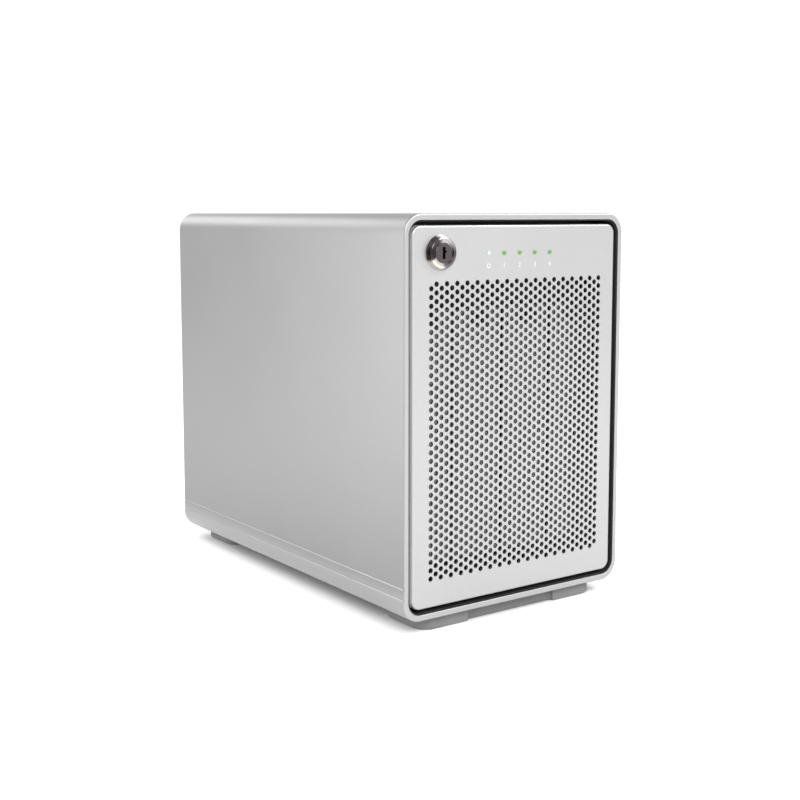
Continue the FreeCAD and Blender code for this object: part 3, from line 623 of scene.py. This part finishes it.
FINISH_MAKERS = {
    "panel_aluminium": lambda: blasted_aluminium("panel aluminium", (0.40, 0.40, 0.405)),
    "black_aluminium": lambda: blasted_aluminium("black aluminium", (0.03, 0.03, 0.033), 0.5),
    "black_plastic": lambda: moulded_plastic("black plastic", (0.004, 0.004, 0.004), 0.75),
    "black_paint": lambda: powder_coat("black paint", (0.018, 0.018, 0.02)),
    "cage_steel": lambda: zinc_sheet("cage steel", (0.46, 0.47, 0.48)),
    "bright_steel": lambda: polished_metal("bright steel", (0.60, 0.60, 0.61), 0.2),
    "dark_steel": lambda: polished_metal("dark steel", (0.06, 0.06, 0.065), 0.35),
    # The lock's chrome carries painted reflections and highlights round its ring
    "lock_chrome": lambda: lock_bezel_chrome("lock chrome with painted reflections"),
    # A pale satin: painted light in the gap beside the door
    "satin_aluminium": lambda: satin_aluminium("satin aluminium with painted light", (0.92, 0.92, 0.92)),
    "lock_plug_metal": lambda: brushed_metal("lock plug metal", (0.10, 0.085, 0.088), 0.26, "X"),
    "light_pipe": lambda: clear_plastic("light pipe", (0.62, 0.66, 0.64)),
    "circuit_board": lambda: solder_mask("circuit board", (0.008, 0.05, 0.022)),
    "socket_plastic": lambda: moulded_plastic("socket plastic", (0.014, 0.014, 0.015), 0.45),
    "rocker_plastic": lambda: moulded_plastic("rocker plastic", (0.016, 0.016, 0.018), 0.25),
    "port_metal": lambda: polished_metal("port metal", (0.58, 0.58, 0.57), 0.25),
    "brass": lambda: polished_metal("turned brass", (0.60, 0.43, 0.18), 0.25),
    "drive_casting": lambda: cast_metal("drive casting", (0.36, 0.37, 0.38)),
    "drive_lid_steel": lambda: brushed_metal("drive lid steel", (0.50, 0.51, 0.52), 0.28, "Y"),
    "supply_metal": lambda: zinc_sheet("supply metal", (0.42, 0.43, 0.43)),
    "fan_plastic": lambda: moulded_plastic("fan plastic", (0.014, 0.014, 0.015), 0.42),
    "gold_contact": lambda: polished_metal("gold contact", (0.75, 0.52, 0.16), 0.2),
    "seal_foam": lambda: foam("seal foam", (0.02, 0.02, 0.02)),
    "chip_resin": lambda: moulded_plastic("chip resin", (0.012, 0.012, 0.012), 0.4, 2600.0),
    "label_paper": lambda: printed_ink("label paper", (0.62, 0.62, 0.60)),
    "label_grey": lambda: printed_ink("label grey", (0.12, 0.12, 0.12)),
    "mark_white": lambda: printed_ink("mark white", (0.60, 0.60, 0.60)),
    "amber_lens": lambda: lit_plastic("amber lens", (0.9, 0.35, 0.02), 0.2),
    # The case's finish carries painted light on its front and rear faces and lower rounding, and
    # painted shade on its underside
    "case_aluminium": lambda: case_aluminium(
        "case aluminium with painted light and shade", finish_settings().case_color, finish_settings().rim_color
    ),
    "door_aluminium": lambda: door_aluminium("door aluminium", finish_settings().door_color),
    # Polished side lines, lighter as a painted highlight
    "side_line_highlight": lambda: polished_metal("polished line with painted highlight", finish_settings().line_color, 0.3),
    "tray_aluminium": lambda: brushed_metal(
        "tray aluminium", finish_settings().tray_color, 0.4, "Z"
    ),
    "foot_rubber": lambda: rubber("foot rubber", finish_settings().foot_color),
    "status_light": lambda: lit_plastic(
        "lit status light", finish_settings().lit_color, finish_settings().lit_strength
    ),
    "unlit_lens": lambda: clear_plastic("unlit lens", (0.40, 0.50, 0.45)),
}
FINISHES = {}


def finish(name):
    """The material of a finish, made the first time that it is asked for."""
    if name not in FINISHES:
        FINISHES[name] = FINISH_MAKERS[name]()
    return FINISHES[name]


def dress(*nodes, finish_name=None):
    """Give nodes of the frame a finish, by default that of their slot in the record."""
    slots = {part["node"]: part["material_slot"] for part in frame["record"]["subparts"]}
    for name in nodes:
        mesh = frame["nodes"][name].data
        mesh.materials.clear()
        mesh.materials.append(finish(finish_name or slots[name]))


# ---------------------------------------------------------------- mesh helpers


def hoop(x, z, radius, steps):
    """A round (x, z) outline."""
    turns = [2 * math.pi * step / steps for step in range(steps)]
    return [(x + radius * math.cos(turn), z + radius * math.sin(turn)) for turn in turns]


def join_rings(mesh, near, far):
    """Faces between two rings of vertices. A ring of one vertex is a point."""
    count = max(len(near), len(far))
    for step in range(count):
        after = (step + 1) % count
        corners = [near[step % len(near)], near[after % len(near)]]
        corners += [far[after % len(far)], far[step % len(far)]]
        mesh.faces.new(list(dict.fromkeys(corners)))


def turned(profile, x, z, steps=72):
    """A shape turned about a line along Y through (x, z), from (radius, y) points."""
    mesh = bmesh.new()
    rings = []
    for radius, y in profile:
        outline = hoop(x, z, radius, steps) if radius else [(x, z)]
        rings.append([mesh.verts.new((ring_x, y, ring_z)) for ring_x, ring_z in outline])
    for near, far in zip(rings, rings[1:]):
        join_rings(mesh, near, far)
    return mesh


def slab(outline, front, back, mesh=None):
    """A solid between two Y places with an (x, z) outline."""
    mesh = mesh or bmesh.new()
    near = [mesh.verts.new((x, front, z)) for x, z in outline]
    far = [mesh.verts.new((x, back, z)) for x, z in outline]
    mesh.faces.new(near)
    mesh.faces.new(far)
    join_rings(mesh, near, far)
    return mesh


def rounded(low_x, high_x, low_z, high_z, radius, steps=6):
    """An (x, z) outline of a rectangle with round corners."""
    points = []
    corners = ((high_x, high_z, 0), (low_x, high_z, 1), (low_x, low_z, 2), (high_x, low_z, 3))
    for corner_x, corner_z, quarter in corners:
        centre_x = corner_x - math.copysign(radius, corner_x - (low_x + high_x) / 2)
        centre_z = corner_z - math.copysign(radius, corner_z - (low_z + high_z) / 2)
        for step in range(steps + 1):
            angle = math.pi / 2 * (quarter + step / steps)
            x = centre_x + radius * math.cos(angle)
            points.append((x, centre_z + radius * math.sin(angle)))
    return points


def brick(low, high, mesh):
    """A block from corner to corner, added to a mesh that holds several."""
    outline = [(low[0], low[2]), (high[0], low[2]), (high[0], high[2]), (low[0], high[2])]
    return slab(outline, low[1], high[1], mesh)


def ring_band(outer, inner, front, back):
    """A closed band between two outlines with as many points, from front to back."""
    mesh = bmesh.new()
    loops = []
    for outline, y in ((outer, front), (outer, back), (inner, back), (inner, front)):
        loops.append([mesh.verts.new((x, y, z)) for x, z in outline])
    for number in range(4):
        join_rings(mesh, loops[number], loops[(number + 1) % 4])
    return mesh


def piece(name, mesh, body, finish_name, bevel=0.0, shift=(0.0, 0.0, 0.0), smooth=35.0):
    """A finished piece from a mesh, riding on a body."""
    bmesh.ops.recalc_face_normals(mesh, faces=mesh.faces)
    data = bpy.data.meshes.new(name)
    mesh.to_mesh(data)
    mesh.free()
    return placed(name, data, body, finish_name, bevel, shift, smooth)


def placed(name, data, body, finish_name, bevel=0.0, shift=(0.0, 0.0, 0.0), smooth=35.0):
    """An object from mesh data, with its finish, its bevel and its body."""
    made = bpy.data.objects.new(name, data)
    bpy.context.scene.collection.objects.link(made)
    made.location = shift
    if not data.materials:
        data.materials.append(finish(finish_name))
        data.shade_smooth()
        data.set_sharp_from_angle(angle=math.radians(smooth))
    if bevel:
        edge = made.modifiers.new("edge", "BEVEL")
        edge.width = bevel
        edge.segments = 2
        edge.limit_method = "ANGLE"
        edge.harden_normals = True
    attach(made, body)
    return made


def numeral(name, text, x, y, z, height, body, finish_name):
    """A printed number that faces the front, with its middle at (x, z)."""
    size_for_height = 1.4
    font = bpy.data.curves.new(name, "FONT")
    font.body = text
    font.size = height * size_for_height
    font.extrude = INK
    font.align_x = "CENTER"
    font.align_y = "CENTER"
    holder = bpy.data.objects.new(name, font)
    bpy.context.scene.collection.objects.link(holder)
    bpy.context.view_layer.update()
    seen = holder.evaluated_get(bpy.context.evaluated_depsgraph_get())
    data = bpy.data.meshes.new_from_object(seen)
    bpy.data.objects.remove(holder)
    data.transform(Matrix.Translation((x, y, z)) @ Matrix.Rotation(math.pi / 2, 4, "X"))
    data.materials.clear()
    data.name = name
    return placed(name, data, body, finish_name)


# ---------------------------------------------------------------- stage


class ENCLOSURE_OT_stage(bpy.types.Operator):
    """Make the floor, the lights, the room light and the camera"""

    bl_idname = "enclosure.stage"
    bl_label = "Stage"

    def execute(self, context):
        settings = stage_settings()
        low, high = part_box("outer_shell")
        add_camera(context.scene, settings, low)
        add_floor(context.scene, settings)
        add_lights(context.scene, settings, low, high)
        return {"FINISHED"}


def add_camera(scene, settings, low):
    data = bpy.data.cameras.new("camera")
    data.lens = settings.camera_lens
    data.sensor_width = 36.0
    data.shift_y = settings.camera_shift
    camera = bpy.data.objects.new("camera", data)
    place = (-settings.camera_left, low.y - settings.camera_front, low.z + settings.camera_height)
    camera.location = place
    camera.rotation_euler = (math.radians(90) - settings.camera_dip, 0.0, settings.camera_turn)
    scene.collection.objects.link(camera)
    scene.camera = camera


def add_floor(scene, settings):
    reach = 30.0
    mesh = bpy.data.meshes.new("floor")
    corners = [(-reach, -reach, 0), (reach, -reach, 0), (reach, reach, 0), (-reach, reach, 0)]
    mesh.from_pydata(corners, [], [(0, 1, 2, 3)])
    floor = bpy.data.objects.new("floor", mesh)
    scene.collection.objects.link(floor)
    made = Shader("floor paper")
    fibre = made.noise(300.0, 3.0)
    color = settings.floor_color
    mesh.materials.append(
        made.set(Base_Color=made.mixed(fibre, tone(color, 0.99), tone(color, 1.01)), Roughness=0.9)
    )


def add_area(scene, name, place, target, size, power):
    """A soft rectangular light that faces a target."""
    data = bpy.data.lights.new(name, "AREA")
    data.shape = "RECTANGLE"
    data.size, data.size_y = size
    data.energy = power
    light = bpy.data.objects.new(name, data)
    light.location = place
    light.rotation_euler = (Vector(target) - Vector(place)).to_track_quat("-Z", "Y").to_euler()
    scene.collection.objects.link(light)


def add_lights(scene, settings, low, high):
    middle = (low + high) / 2
    add_area(scene, "key light", (0.65, -0.85, 1.0), middle, (0.7, 0.6), settings.key_power)
    add_area(scene, "side light", (-0.55, 0.24, 0.17), middle, (0.25, 0.4), settings.side_power)
    add_area(scene, "rear light", (-0.35, 1.20, 0.85), middle, (0.8, 0.6), settings.rear_power)
    add_area(scene, "fill light", (-0.80, -1.25, 1.05), middle, (1.0, 0.6), settings.fill_power)
    world = bpy.data.worlds.new("room")
    world.use_nodes = True
    background = world.node_tree.nodes["Background"]
    background.inputs["Color"].default_value = (1.0, 1.0, 1.0, 1.0)
    background.inputs["Strength"].default_value = settings.room_light
    scene.world = world
    scene.view_settings.view_transform = "Standard"


# ---------------------------------------------------------------- pieces


class ENCLOSURE_OT_case(bpy.types.Operator):
    """Finish the case, its feet and its screws, and lay the polished lines along its sides, whose
    lighter colour is a painted highlight
    """

    bl_idname = "enclosure.case"
    bl_label = "Case and feet"

    def execute(self, context):
        dress("outer_shell", "front_sleeve", "front_foot", "rear_foot", "foot_screws")
        half = detail_settings().line_width / 2
        low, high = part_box("outer_shell")
        edge, sunk, deep = 0.00002, 0.00005, 0.00032
        end_space = 0.0007
        mesh = bmesh.new()
        for side in (-1, 1):
            for rise in GROOVE_RISES:
                z = low.z + rise
                outline = [
                    (side * (high.x - sunk), z + half - edge),
                    (side * (high.x - deep), z),
                    (side * (high.x - sunk), z - half + edge),
                    (side * (high.x - deep - sunk), z),
                ]
                slab(outline, low.y + end_space, high.y - end_space, mesh)
        # Polished lines in the grooves; their lighter colour paints the highlight that the grooves
        # catch
        piece("side_line_highlights", mesh, "case", "side_line_highlight")
        return {"FINISHED"}


class ENCLOSURE_OT_door(bpy.types.Operator):
    """Finish the door, its frame and pegs, and lay the foam seal behind it"""

    bl_idname = "enclosure.door"
    bl_label = "Door"

    def execute(self, context):
        dress("door_plate", "door_pegs")
        # The door frame takes the pale satin: painted light where it shows in the gap beside the
        # door
        dress("door_frame", finish_name="satin_aluminium")
        low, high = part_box("door_frame")
        width = detail_settings().seal_width
        corner = 0.0046
        outer = rounded(low.x, high.x, low.z, high.z, corner)
        inner = rounded(
            low.x + width, high.x - width, low.z + width, high.z - width, corner - 0.0016
        )
        seal = ring_band(outer, inner, high.y, high.y + 1.5 * width)
        piece("door_seal", seal, "door", "seal_foam", bevel=0.0003)
        return {"FINISHED"}


class ENCLOSURE_OT_lock(bpy.types.Operator):
    """Finish the lock, its cam and its keeper"""

    bl_idname = "enclosure.lock"
    bl_label = "Lock"

    def execute(self, context):
        dress("lock_body", "lock_nut", "lock_plug", "lock_cam", "cam_screw", "lock_keeper")
        return {"FINISHED"}


class ENCLOSURE_OT_status_lights(bpy.types.Operator):
    """Set a lens in front of each light pipe, and print the bay numbers"""

    bl_idname = "enclosure.status_lights"
    bl_label = "Status lights"

    def execute(self, context):
        dress("light_pipes", "light_board", "light_emitters")
        sizes = detail_settings()
        low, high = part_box("light_pipes")
        plate_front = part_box("door_plate")[0].y
        radius = sizes.lens_diameter / 2
        pitch = (high.x - low.x) / LIGHT_COUNT
        z = (low.z + high.z) / 2
        for number in range(LIGHT_COUNT):
            x = low.x + pitch * (number + 0.5)
            dome = lens_dome(radius, low.y, sizes.lens_rise)
            profile = [(0.0, plate_front), (radius, plate_front)] + dome
            lens = turned(profile, x, z, 32)
            lit = "status_light" if number else "unlit_lens"
            piece(f"light_lens_{number}", lens, "door", lit)
            mark_z = z - sizes.numeral_drop
            if number:
                numeral(
                    f"bay_number_{number}", str(number), x, plate_front, mark_z,
                    sizes.numeral_height, "door", "mark_white",
                )
            else:
                ring = ring_mark(x, mark_z, plate_front, 0.0011, 0.0008)
                piece("power_mark", ring, "door", "mark_white")
        return {"FINISHED"}


def lens_dome(radius, base, rise, steps=8):
    """The (radius, y) points of a lens's dome, from its edge to its middle."""
    dome = []
    for step in range(steps):
        turn = math.pi / 2 * step / steps
        dome.append((radius * math.cos(turn), base - rise * math.sin(turn)))
    return [*dome, (0.0, base - rise)]


def ring_mark(x, z, face, outer, inner):
    """A printed ring on a face that looks along Y, from its two radii."""
    outlines = (hoop(x, z, radius, MARK_STEPS) for radius in (outer, inner))
    return ring_band(*outlines, face - INK, face + INK)


class ENCLOSURE_OT_trays(bpy.types.Operator):
    """Finish the drive trays and knurl their captive screws"""

    bl_idname = "enclosure.trays"
    bl_label = "Drive trays"

    def execute(self, context):
        teeth = detail_settings().knurl_teeth
        knurl_start, knurl_end = 0.0004, 0.0031
        number_rise, number_height = 0.008, 0.005
        for number in BAYS:
            dress(f"tray_frame_{number}", f"tray_face_{number}", f"tray_screw_{number}")
            low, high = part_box(f"tray_screw_{number}")
            x, z = (low.x + high.x) / 2, (low.z + high.z) / 2
            radius = (high.x - low.x) / 2
            knurl = knurled_ring(x, z, radius, low.y + knurl_start, low.y + knurl_end, teeth)
            piece(
                f"screw_knurl_{number}", knurl, f"tray_knob_{number}", "dark_steel",
                smooth=20.0,
            )
            face_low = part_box(f"tray_face_{number}")[0]
            numeral(
                f"tray_number_{number}", str(number), x, face_low.y, face_low.z + number_rise,
                number_height, f"tray_{number}", "label_grey",
            )
        return {"FINISHED"}


def knurled_ring(x, z, radius, front, back, teeth):
    """A ring with teeth round it, for the head of a screw."""
    proud, sunk, inner_radius = 0.00008, 0.00018, 0.0033
    outline = []
    for tooth in range(2 * teeth):
        reach = radius + (proud if tooth % 2 else -sunk)
        turn = math.pi * tooth / teeth
        outline.append((x + reach * math.cos(turn), z + reach * math.sin(turn)))
    return ring_band(outline, hoop(x, z, inner_radius, 2 * teeth), front, back)


class ENCLOSURE_OT_drives(bpy.types.Operator):
    """Finish the drives, with their lid screws, labels and circuit boards"""

    bl_idname = "enclosure.drives"
    bl_label = "Drives"

    def execute(self, context):
        low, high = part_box("drive_lid_1")
        parts = {
            "drive_lid_relief": (lid_relief(low, high), "drive_lid_steel", 0.0001),
            "drive_screws": (lid_screws(low, high), "dark_steel", 0.0),
            "drive_label": (lid_label(low, high), "label_paper", 0.0),
            "drive_label_bars": (label_bars(low, high), "label_grey", 0.0),
            "drive_board": (drive_board(), "circuit_board", 0.0001),
            "drive_chips": (drive_chips(), "chip_resin", 0.0001),
        }
        for name, (mesh, finish_name, bevel) in parts.items():
            data = bpy.data.meshes.new(name)
            bmesh.ops.recalc_face_normals(mesh, faces=mesh.faces)
            mesh.to_mesh(data)
            mesh.free()
            for number in BAYS:
                shift = (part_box(f"drive_lid_{number}")[0].x - low.x, 0.0, 0.0)
                placed(
                    f"{name}_{number}", data, f"tray_{number}", finish_name,
                    bevel, shift,
                )
        for number in BAYS:
            dress(f"drive_{number}", f"drive_lid_{number}")
        return {"FINISHED"}


def sideways(mesh, x, y, z):
    """Stand a mesh that was made about Y on the drive's side, so that its Y axis points along X."""
    turn = Matrix.Translation((x, y, z)) @ Matrix.Rotation(math.pi / 2, 4, "Z")
    bmesh.ops.transform(mesh, matrix=turn, verts=mesh.verts)
    return mesh


def lid_relief(low, high):
    """The spindle's raised ring on a drive's lid."""
    profile = [
        (0.0, -0.0003), (0.010, -0.0003), (0.0108, -0.0006), (0.0125, -0.0006), (0.0135, 0.0),
        (0.0, 0.0),
    ]
    mesh = turned(profile, 0.0, 0.0, 64)
    return sideways(mesh, high.x, low.y + SPINDLE_PLACE, (low.z + high.z) / 2)


def lid_screws(low, high):
    """The heads of six screws round the lid and one at the spindle."""
    mesh = bmesh.new()
    inset, middle_row = 0.0045, 0.066
    rows = (low.y + inset, high.y - inset, low.y + middle_row)
    places = [(y, z) for y in rows for z in (low.z + inset, high.z - inset)]
    places.append((low.y + SPINDLE_PLACE, (low.z + high.z) / 2))
    profile = [
        (0.0, -0.0001), (0.0007, -0.0001), (0.0009, -0.0004), (0.0018, -0.0004),
        (0.0022, -0.0001), (0.0022, 0.0),
    ]
    for y, z in places:
        head = turned(profile, 0.0, 0.0, 24)
        sideways(head, high.x, y, z)
        data = bpy.data.meshes.new("head")
        head.to_mesh(data)
        head.free()
        mesh.from_mesh(data)
        bpy.data.meshes.remove(data)
    return mesh


def lid_label(low, high):
    """A plain label on the drive's lid."""
    mesh = slab(rounded(-0.024, 0.024, -0.030, 0.030, 0.002), -LABEL_THICKNESS, 0.0)
    return sideways(mesh, high.x, low.y + LABEL_PLACE, (low.z + high.z) / 2)


def label_bars(low, high):
    """Plain printed bars on the label."""
    mesh = bmesh.new()
    start, top, pitch, tall = -0.020, 0.020, 0.009, 0.0022
    for number, width in enumerate((0.036, 0.030, 0.036, 0.022, 0.028)):
        z = top - pitch * number
        near = (start, -LABEL_THICKNESS - INK, z)
        brick(near, (start + width, -LABEL_THICKNESS, z + tall), mesh)
    return sideways(mesh, high.x, low.y + LABEL_PLACE, (low.z + high.z) / 2)


def drive_board():
    """The circuit board on the drive's underside."""
    low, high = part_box("drive_1")
    outline = rounded(-0.045, 0.045, -0.040, 0.040, 0.003)
    mesh = slab(outline, 0.0, DRIVE_BOARD_THICKNESS)
    return sideways(mesh, low.x, high.y - DRIVE_BOARD_PLACE, (low.z + high.z) / 2)


def drive_chips():
    """Chips on the drive's circuit board."""
    low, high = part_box("drive_1")
    mesh = bmesh.new()
    top = DRIVE_BOARD_THICKNESS + 0.0007
    chips = (
        (-0.020, -0.012, 0.014, 0.014),
        (0.012, 0.008, 0.010, 0.010),
        (0.010, -0.020, 0.012, 0.008),
        (-0.028, 0.018, 0.008, 0.005),
        (0.030, -0.004, 0.006, 0.016),
        (-0.002, 0.026, 0.016, 0.004),
    )
    for x, z, width, height in chips:
        near = (x - width / 2, DRIVE_BOARD_THICKNESS, z - height / 2)
        brick(near, (x + width / 2, top, z + height / 2), mesh)
    return sideways(mesh, low.x, high.y - DRIVE_BOARD_PLACE, (low.z + high.z) / 2)


class ENCLOSURE_OT_inside(bpy.types.Operator):
    """Finish the bezel, the drive cage and the electronics"""

    bl_idname = "enclosure.inside"
    bl_label = "Cage and electronics"

    def execute(self, context):
        dress(
            "bay_bezel", "cage_left", "cage_right", "cage_deck", "cage_roof", "tray_guides",
            "chassis_plate", "backplane", "drive_sockets", "controller_board", "board_standoffs",
            "heat_sink", "power_supply",
        )
        low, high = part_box("controller_board")
        middle = (low.y + high.y) / 2
        chip_height = 0.0016
        top = high.z + chip_height
        mesh = bmesh.new()
        chips = (
            (-0.030, -0.018, 0.018),
            (-0.036, 0.004, 0.010),
            (0.034, -0.022, 0.012),
            (0.036, 0.004, 0.008),
        )
        for x, rise, size in chips:
            y, half = middle + rise, size / 2
            brick((x - half, y - half, high.z), (x + half, y + half, top), mesh)
        piece("board_chips", mesh, "case", "chip_resin", bevel=0.0002)
        return {"FINISHED"}


class ENCLOSURE_OT_rear(bpy.types.Operator):
    """Finish the rear panel, its screws, its ports and their contacts"""

    bl_idname = "enclosure.rear"
    bl_label = "Rear panel and ports"

    def execute(self, context):
        dress("rear_panel", "panel_screws", "fan_screws", "network_ports", "usb_ports")
        low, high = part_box("network_ports")
        contacts, windows_green, windows_amber = bmesh.new(), bmesh.new(), bmesh.new()
        for x in NETWORK_XS:
            for number in range(8):
                wire_x = x + (number - 3.5) * 0.00102
                near = (wire_x - 0.00022, high.y - 0.0110, low.z + 0.0078)
                brick(near, (wire_x + 0.00022, high.y - 0.0015, low.z + 0.0082), contacts)
            for side, mesh in ((-1, windows_green), (1, windows_amber)):
                centre = x + side * 0.0052
                window = (centre - 0.0015, centre + 0.0015, low.z + 0.0100, low.z + 0.0120)
                slab(rounded(*window, 0.0004, 3), high.y - 0.0002, high.y + 0.0002, mesh)
        tongues = bmesh.new()
        low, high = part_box("usb_ports")
        middle = (low.z + high.z) / 2
        for x in USB_XS:
            tongue = (x - 0.0033, x + 0.0033, middle - 0.00035, middle + 0.00035)
            slab(rounded(*tongue, 0.0003, 3), high.y - 0.0060, high.y - 0.0008, tongues)
            for number in range(12):
                wire_x = x + (number - 5.5) * 0.0005
                near = (wire_x - 0.00013, high.y - 0.0050, middle - 0.00038)
                brick(near, (wire_x + 0.00013, high.y - 0.0010, middle + 0.00038), contacts)
        piece("port_contacts", contacts, "case", "gold_contact")
        piece("link_lights", windows_green, "case", "status_light")
        piece("traffic_lights", windows_amber, "case", "amber_lens")
        piece("usb_tongues", tongues, "case", "socket_plastic", bevel=0.0001)
        return {"FINISHED"}


class ENCLOSURE_OT_fan(bpy.types.Operator):
    """Finish the fan's frame and make its curved rotor"""

    bl_idname = "enclosure.fan"
    bl_label = "Fan"

    def execute(self, context):
        dress("fan_frame")
        low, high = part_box("fan_rotor")
        frame_low, frame_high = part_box("fan_frame")
        z = (frame_low.z + frame_high.z) / 2
        tip = (high.z - low.z) / 2
        hub, shaft = 0.018, 0.0026
        front, back = low.y, high.y - shaft
        hub_profile = [
            (0.0, front), (hub - 0.0030, front), (hub - 0.0012, front + 0.0004),
            (hub - 0.0003, front + 0.0014), (hub, front + 0.0030), (hub, back - 0.0004),
            (hub - 0.0004, back), (0.0030, back), (0.0015, back + 0.0004), (0.0015, high.y),
            (0.0, high.y),
        ]
        mesh = turned(hub_profile, 0.0, z, 72)
        count = detail_settings().blade_count
        for number in range(count):
            add_blade(mesh, 2 * math.pi * number / count, hub - 0.001, tip, (front + back) / 2, z)
        rotor = piece("fan_blades", mesh, "fan", "fan_plastic", smooth=50.0)
        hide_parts("fan_rotor")
        return {"FINISHED"}


def add_blade(mesh, turn, root, tip, middle, z):
    """One swept blade with a curved section, added to the rotor's mesh."""
    stations, sections = 9, 11
    loops = []
    for station in range(stations):
        share = station / (stations - 1)
        radius = root + (tip - root) * share
        half_chord = 0.40 - 0.10 * share
        half_rise = 0.0085 - 0.0022 * share
        upper, lower = [], []
        for section in range(sections):
            along = 2 * section / (sections - 1) - 1
            angle = turn + 0.22 * share + half_chord * along
            camber = 0.0012 * (1 - along * along)
            thick = 0.0008 * math.sqrt(max(0.0, 1 - along * along)) + 0.0002
            y = middle - half_rise * along + camber
            point = (radius * math.cos(angle), z + radius * math.sin(angle))
            upper.append(mesh.verts.new((point[0], y + thick, point[1])))
            lower.append(mesh.verts.new((point[0], y - thick, point[1])))
        loops.append(upper + lower[::-1])
    for near, far in zip(loops, loops[1:]):
        join_rings(mesh, near, far)
    mesh.faces.new(loops[0])
    mesh.faces.new(loops[-1])


class ENCLOSURE_OT_power(bpy.types.Operator):
    """Finish the mains inlet and its switch, with the pins and the rocker's marks"""

    bl_idname = "enclosure.power"
    bl_label = "Mains inlet and switch"

    def execute(self, context):
        dress("power_inlet", "switch_frame", "power_rocker")
        low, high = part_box("power_inlet")
        x, z = (low.x + high.x) / 2, (low.z + high.z) / 2
        floor, pin_length = high.y - 0.0160, 0.0101
        half_width, half_height = 0.00105, 0.00205
        pins = bmesh.new()
        for shift, rise in ((-0.007, -0.0015), (0.0, 0.0025), (0.007, -0.0015)):
            pin_x, pin_z = x + shift, z + rise
            outline = rounded(
                pin_x - half_width, pin_x + half_width, pin_z - half_height, pin_z + half_height,
                0.0003, 3,
            )
            slab(outline, floor, floor + pin_length, pins)
        piece("inlet_pins", pins, "case", "bright_steel", bevel=0.0003)
        low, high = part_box("power_rocker")
        x = (low.x + high.x) / 2
        dip, half_length = 0.00177, 0.0072
        face = high.y - dip
        ring = ring_mark(x + 0.0037, z, face, 0.0014, 0.0010)
        piece("off_mark", ring, "rocker", "mark_white")
        bar = bmesh.new()
        brick((-0.0039, -0.00002, -0.0016), (-0.0035, 0.00005, 0.0016), bar)
        slope = Matrix.Rotation(math.atan2(-dip, half_length), 4, "Z")
        turn = Matrix.Translation((x, face, z)) @ slope
        bmesh.ops.transform(bar, matrix=turn, verts=bar.verts)
        piece("on_mark", bar, "rocker", "mark_white")
        return {"FINISHED"}


class ENCLOSURE_PT_panel(bpy.types.Panel):
    """Lists the steps that make the enclosure's looks"""

    bl_label = "Storage enclosure"
    bl_idname = "ENCLOSURE_PT_panel"
    bl_space_type = "VIEW_3D"
    bl_region_type = "UI"
    bl_category = "Enclosure"

    def draw(self, context):
        for operator in OPERATORS:
            self.layout.operator(operator.bl_idname)


SETTINGS = (StageSettings, FinishSettings, DetailSettings)
OPERATORS = (
    ENCLOSURE_OT_stage,
    ENCLOSURE_OT_case,
    ENCLOSURE_OT_door,
    ENCLOSURE_OT_lock,
    ENCLOSURE_OT_status_lights,
    ENCLOSURE_OT_trays,
    ENCLOSURE_OT_drives,
    ENCLOSURE_OT_inside,
    ENCLOSURE_OT_rear,
    ENCLOSURE_OT_fan,
    ENCLOSURE_OT_power,
)
CLASSES = (*SETTINGS, *OPERATORS, ENCLOSURE_PT_panel)


def register():
    for item in CLASSES:
        bpy.utils.register_class(item)
    bpy.types.Scene.enclosure_stage = bpy.props.PointerProperty(type=StageSettings)
    bpy.types.Scene.enclosure_finish = bpy.props.PointerProperty(type=FinishSettings)
    bpy.types.Scene.enclosure_detail = bpy.props.PointerProperty(type=DetailSettings)


def unregister():
    del bpy.types.Scene.enclosure_detail
    del bpy.types.Scene.enclosure_finish
    del bpy.types.Scene.enclosure_stage
    for item in reversed(CLASSES):
        bpy.utils.unregister_class(item)


def main():
    """Make everything in order."""
    register()
    for operator in OPERATORS:
        group, name = operator.bl_idname.split(".")
        getattr(getattr(bpy.ops, group), name)()


if __name__ == "__main__":
    main()
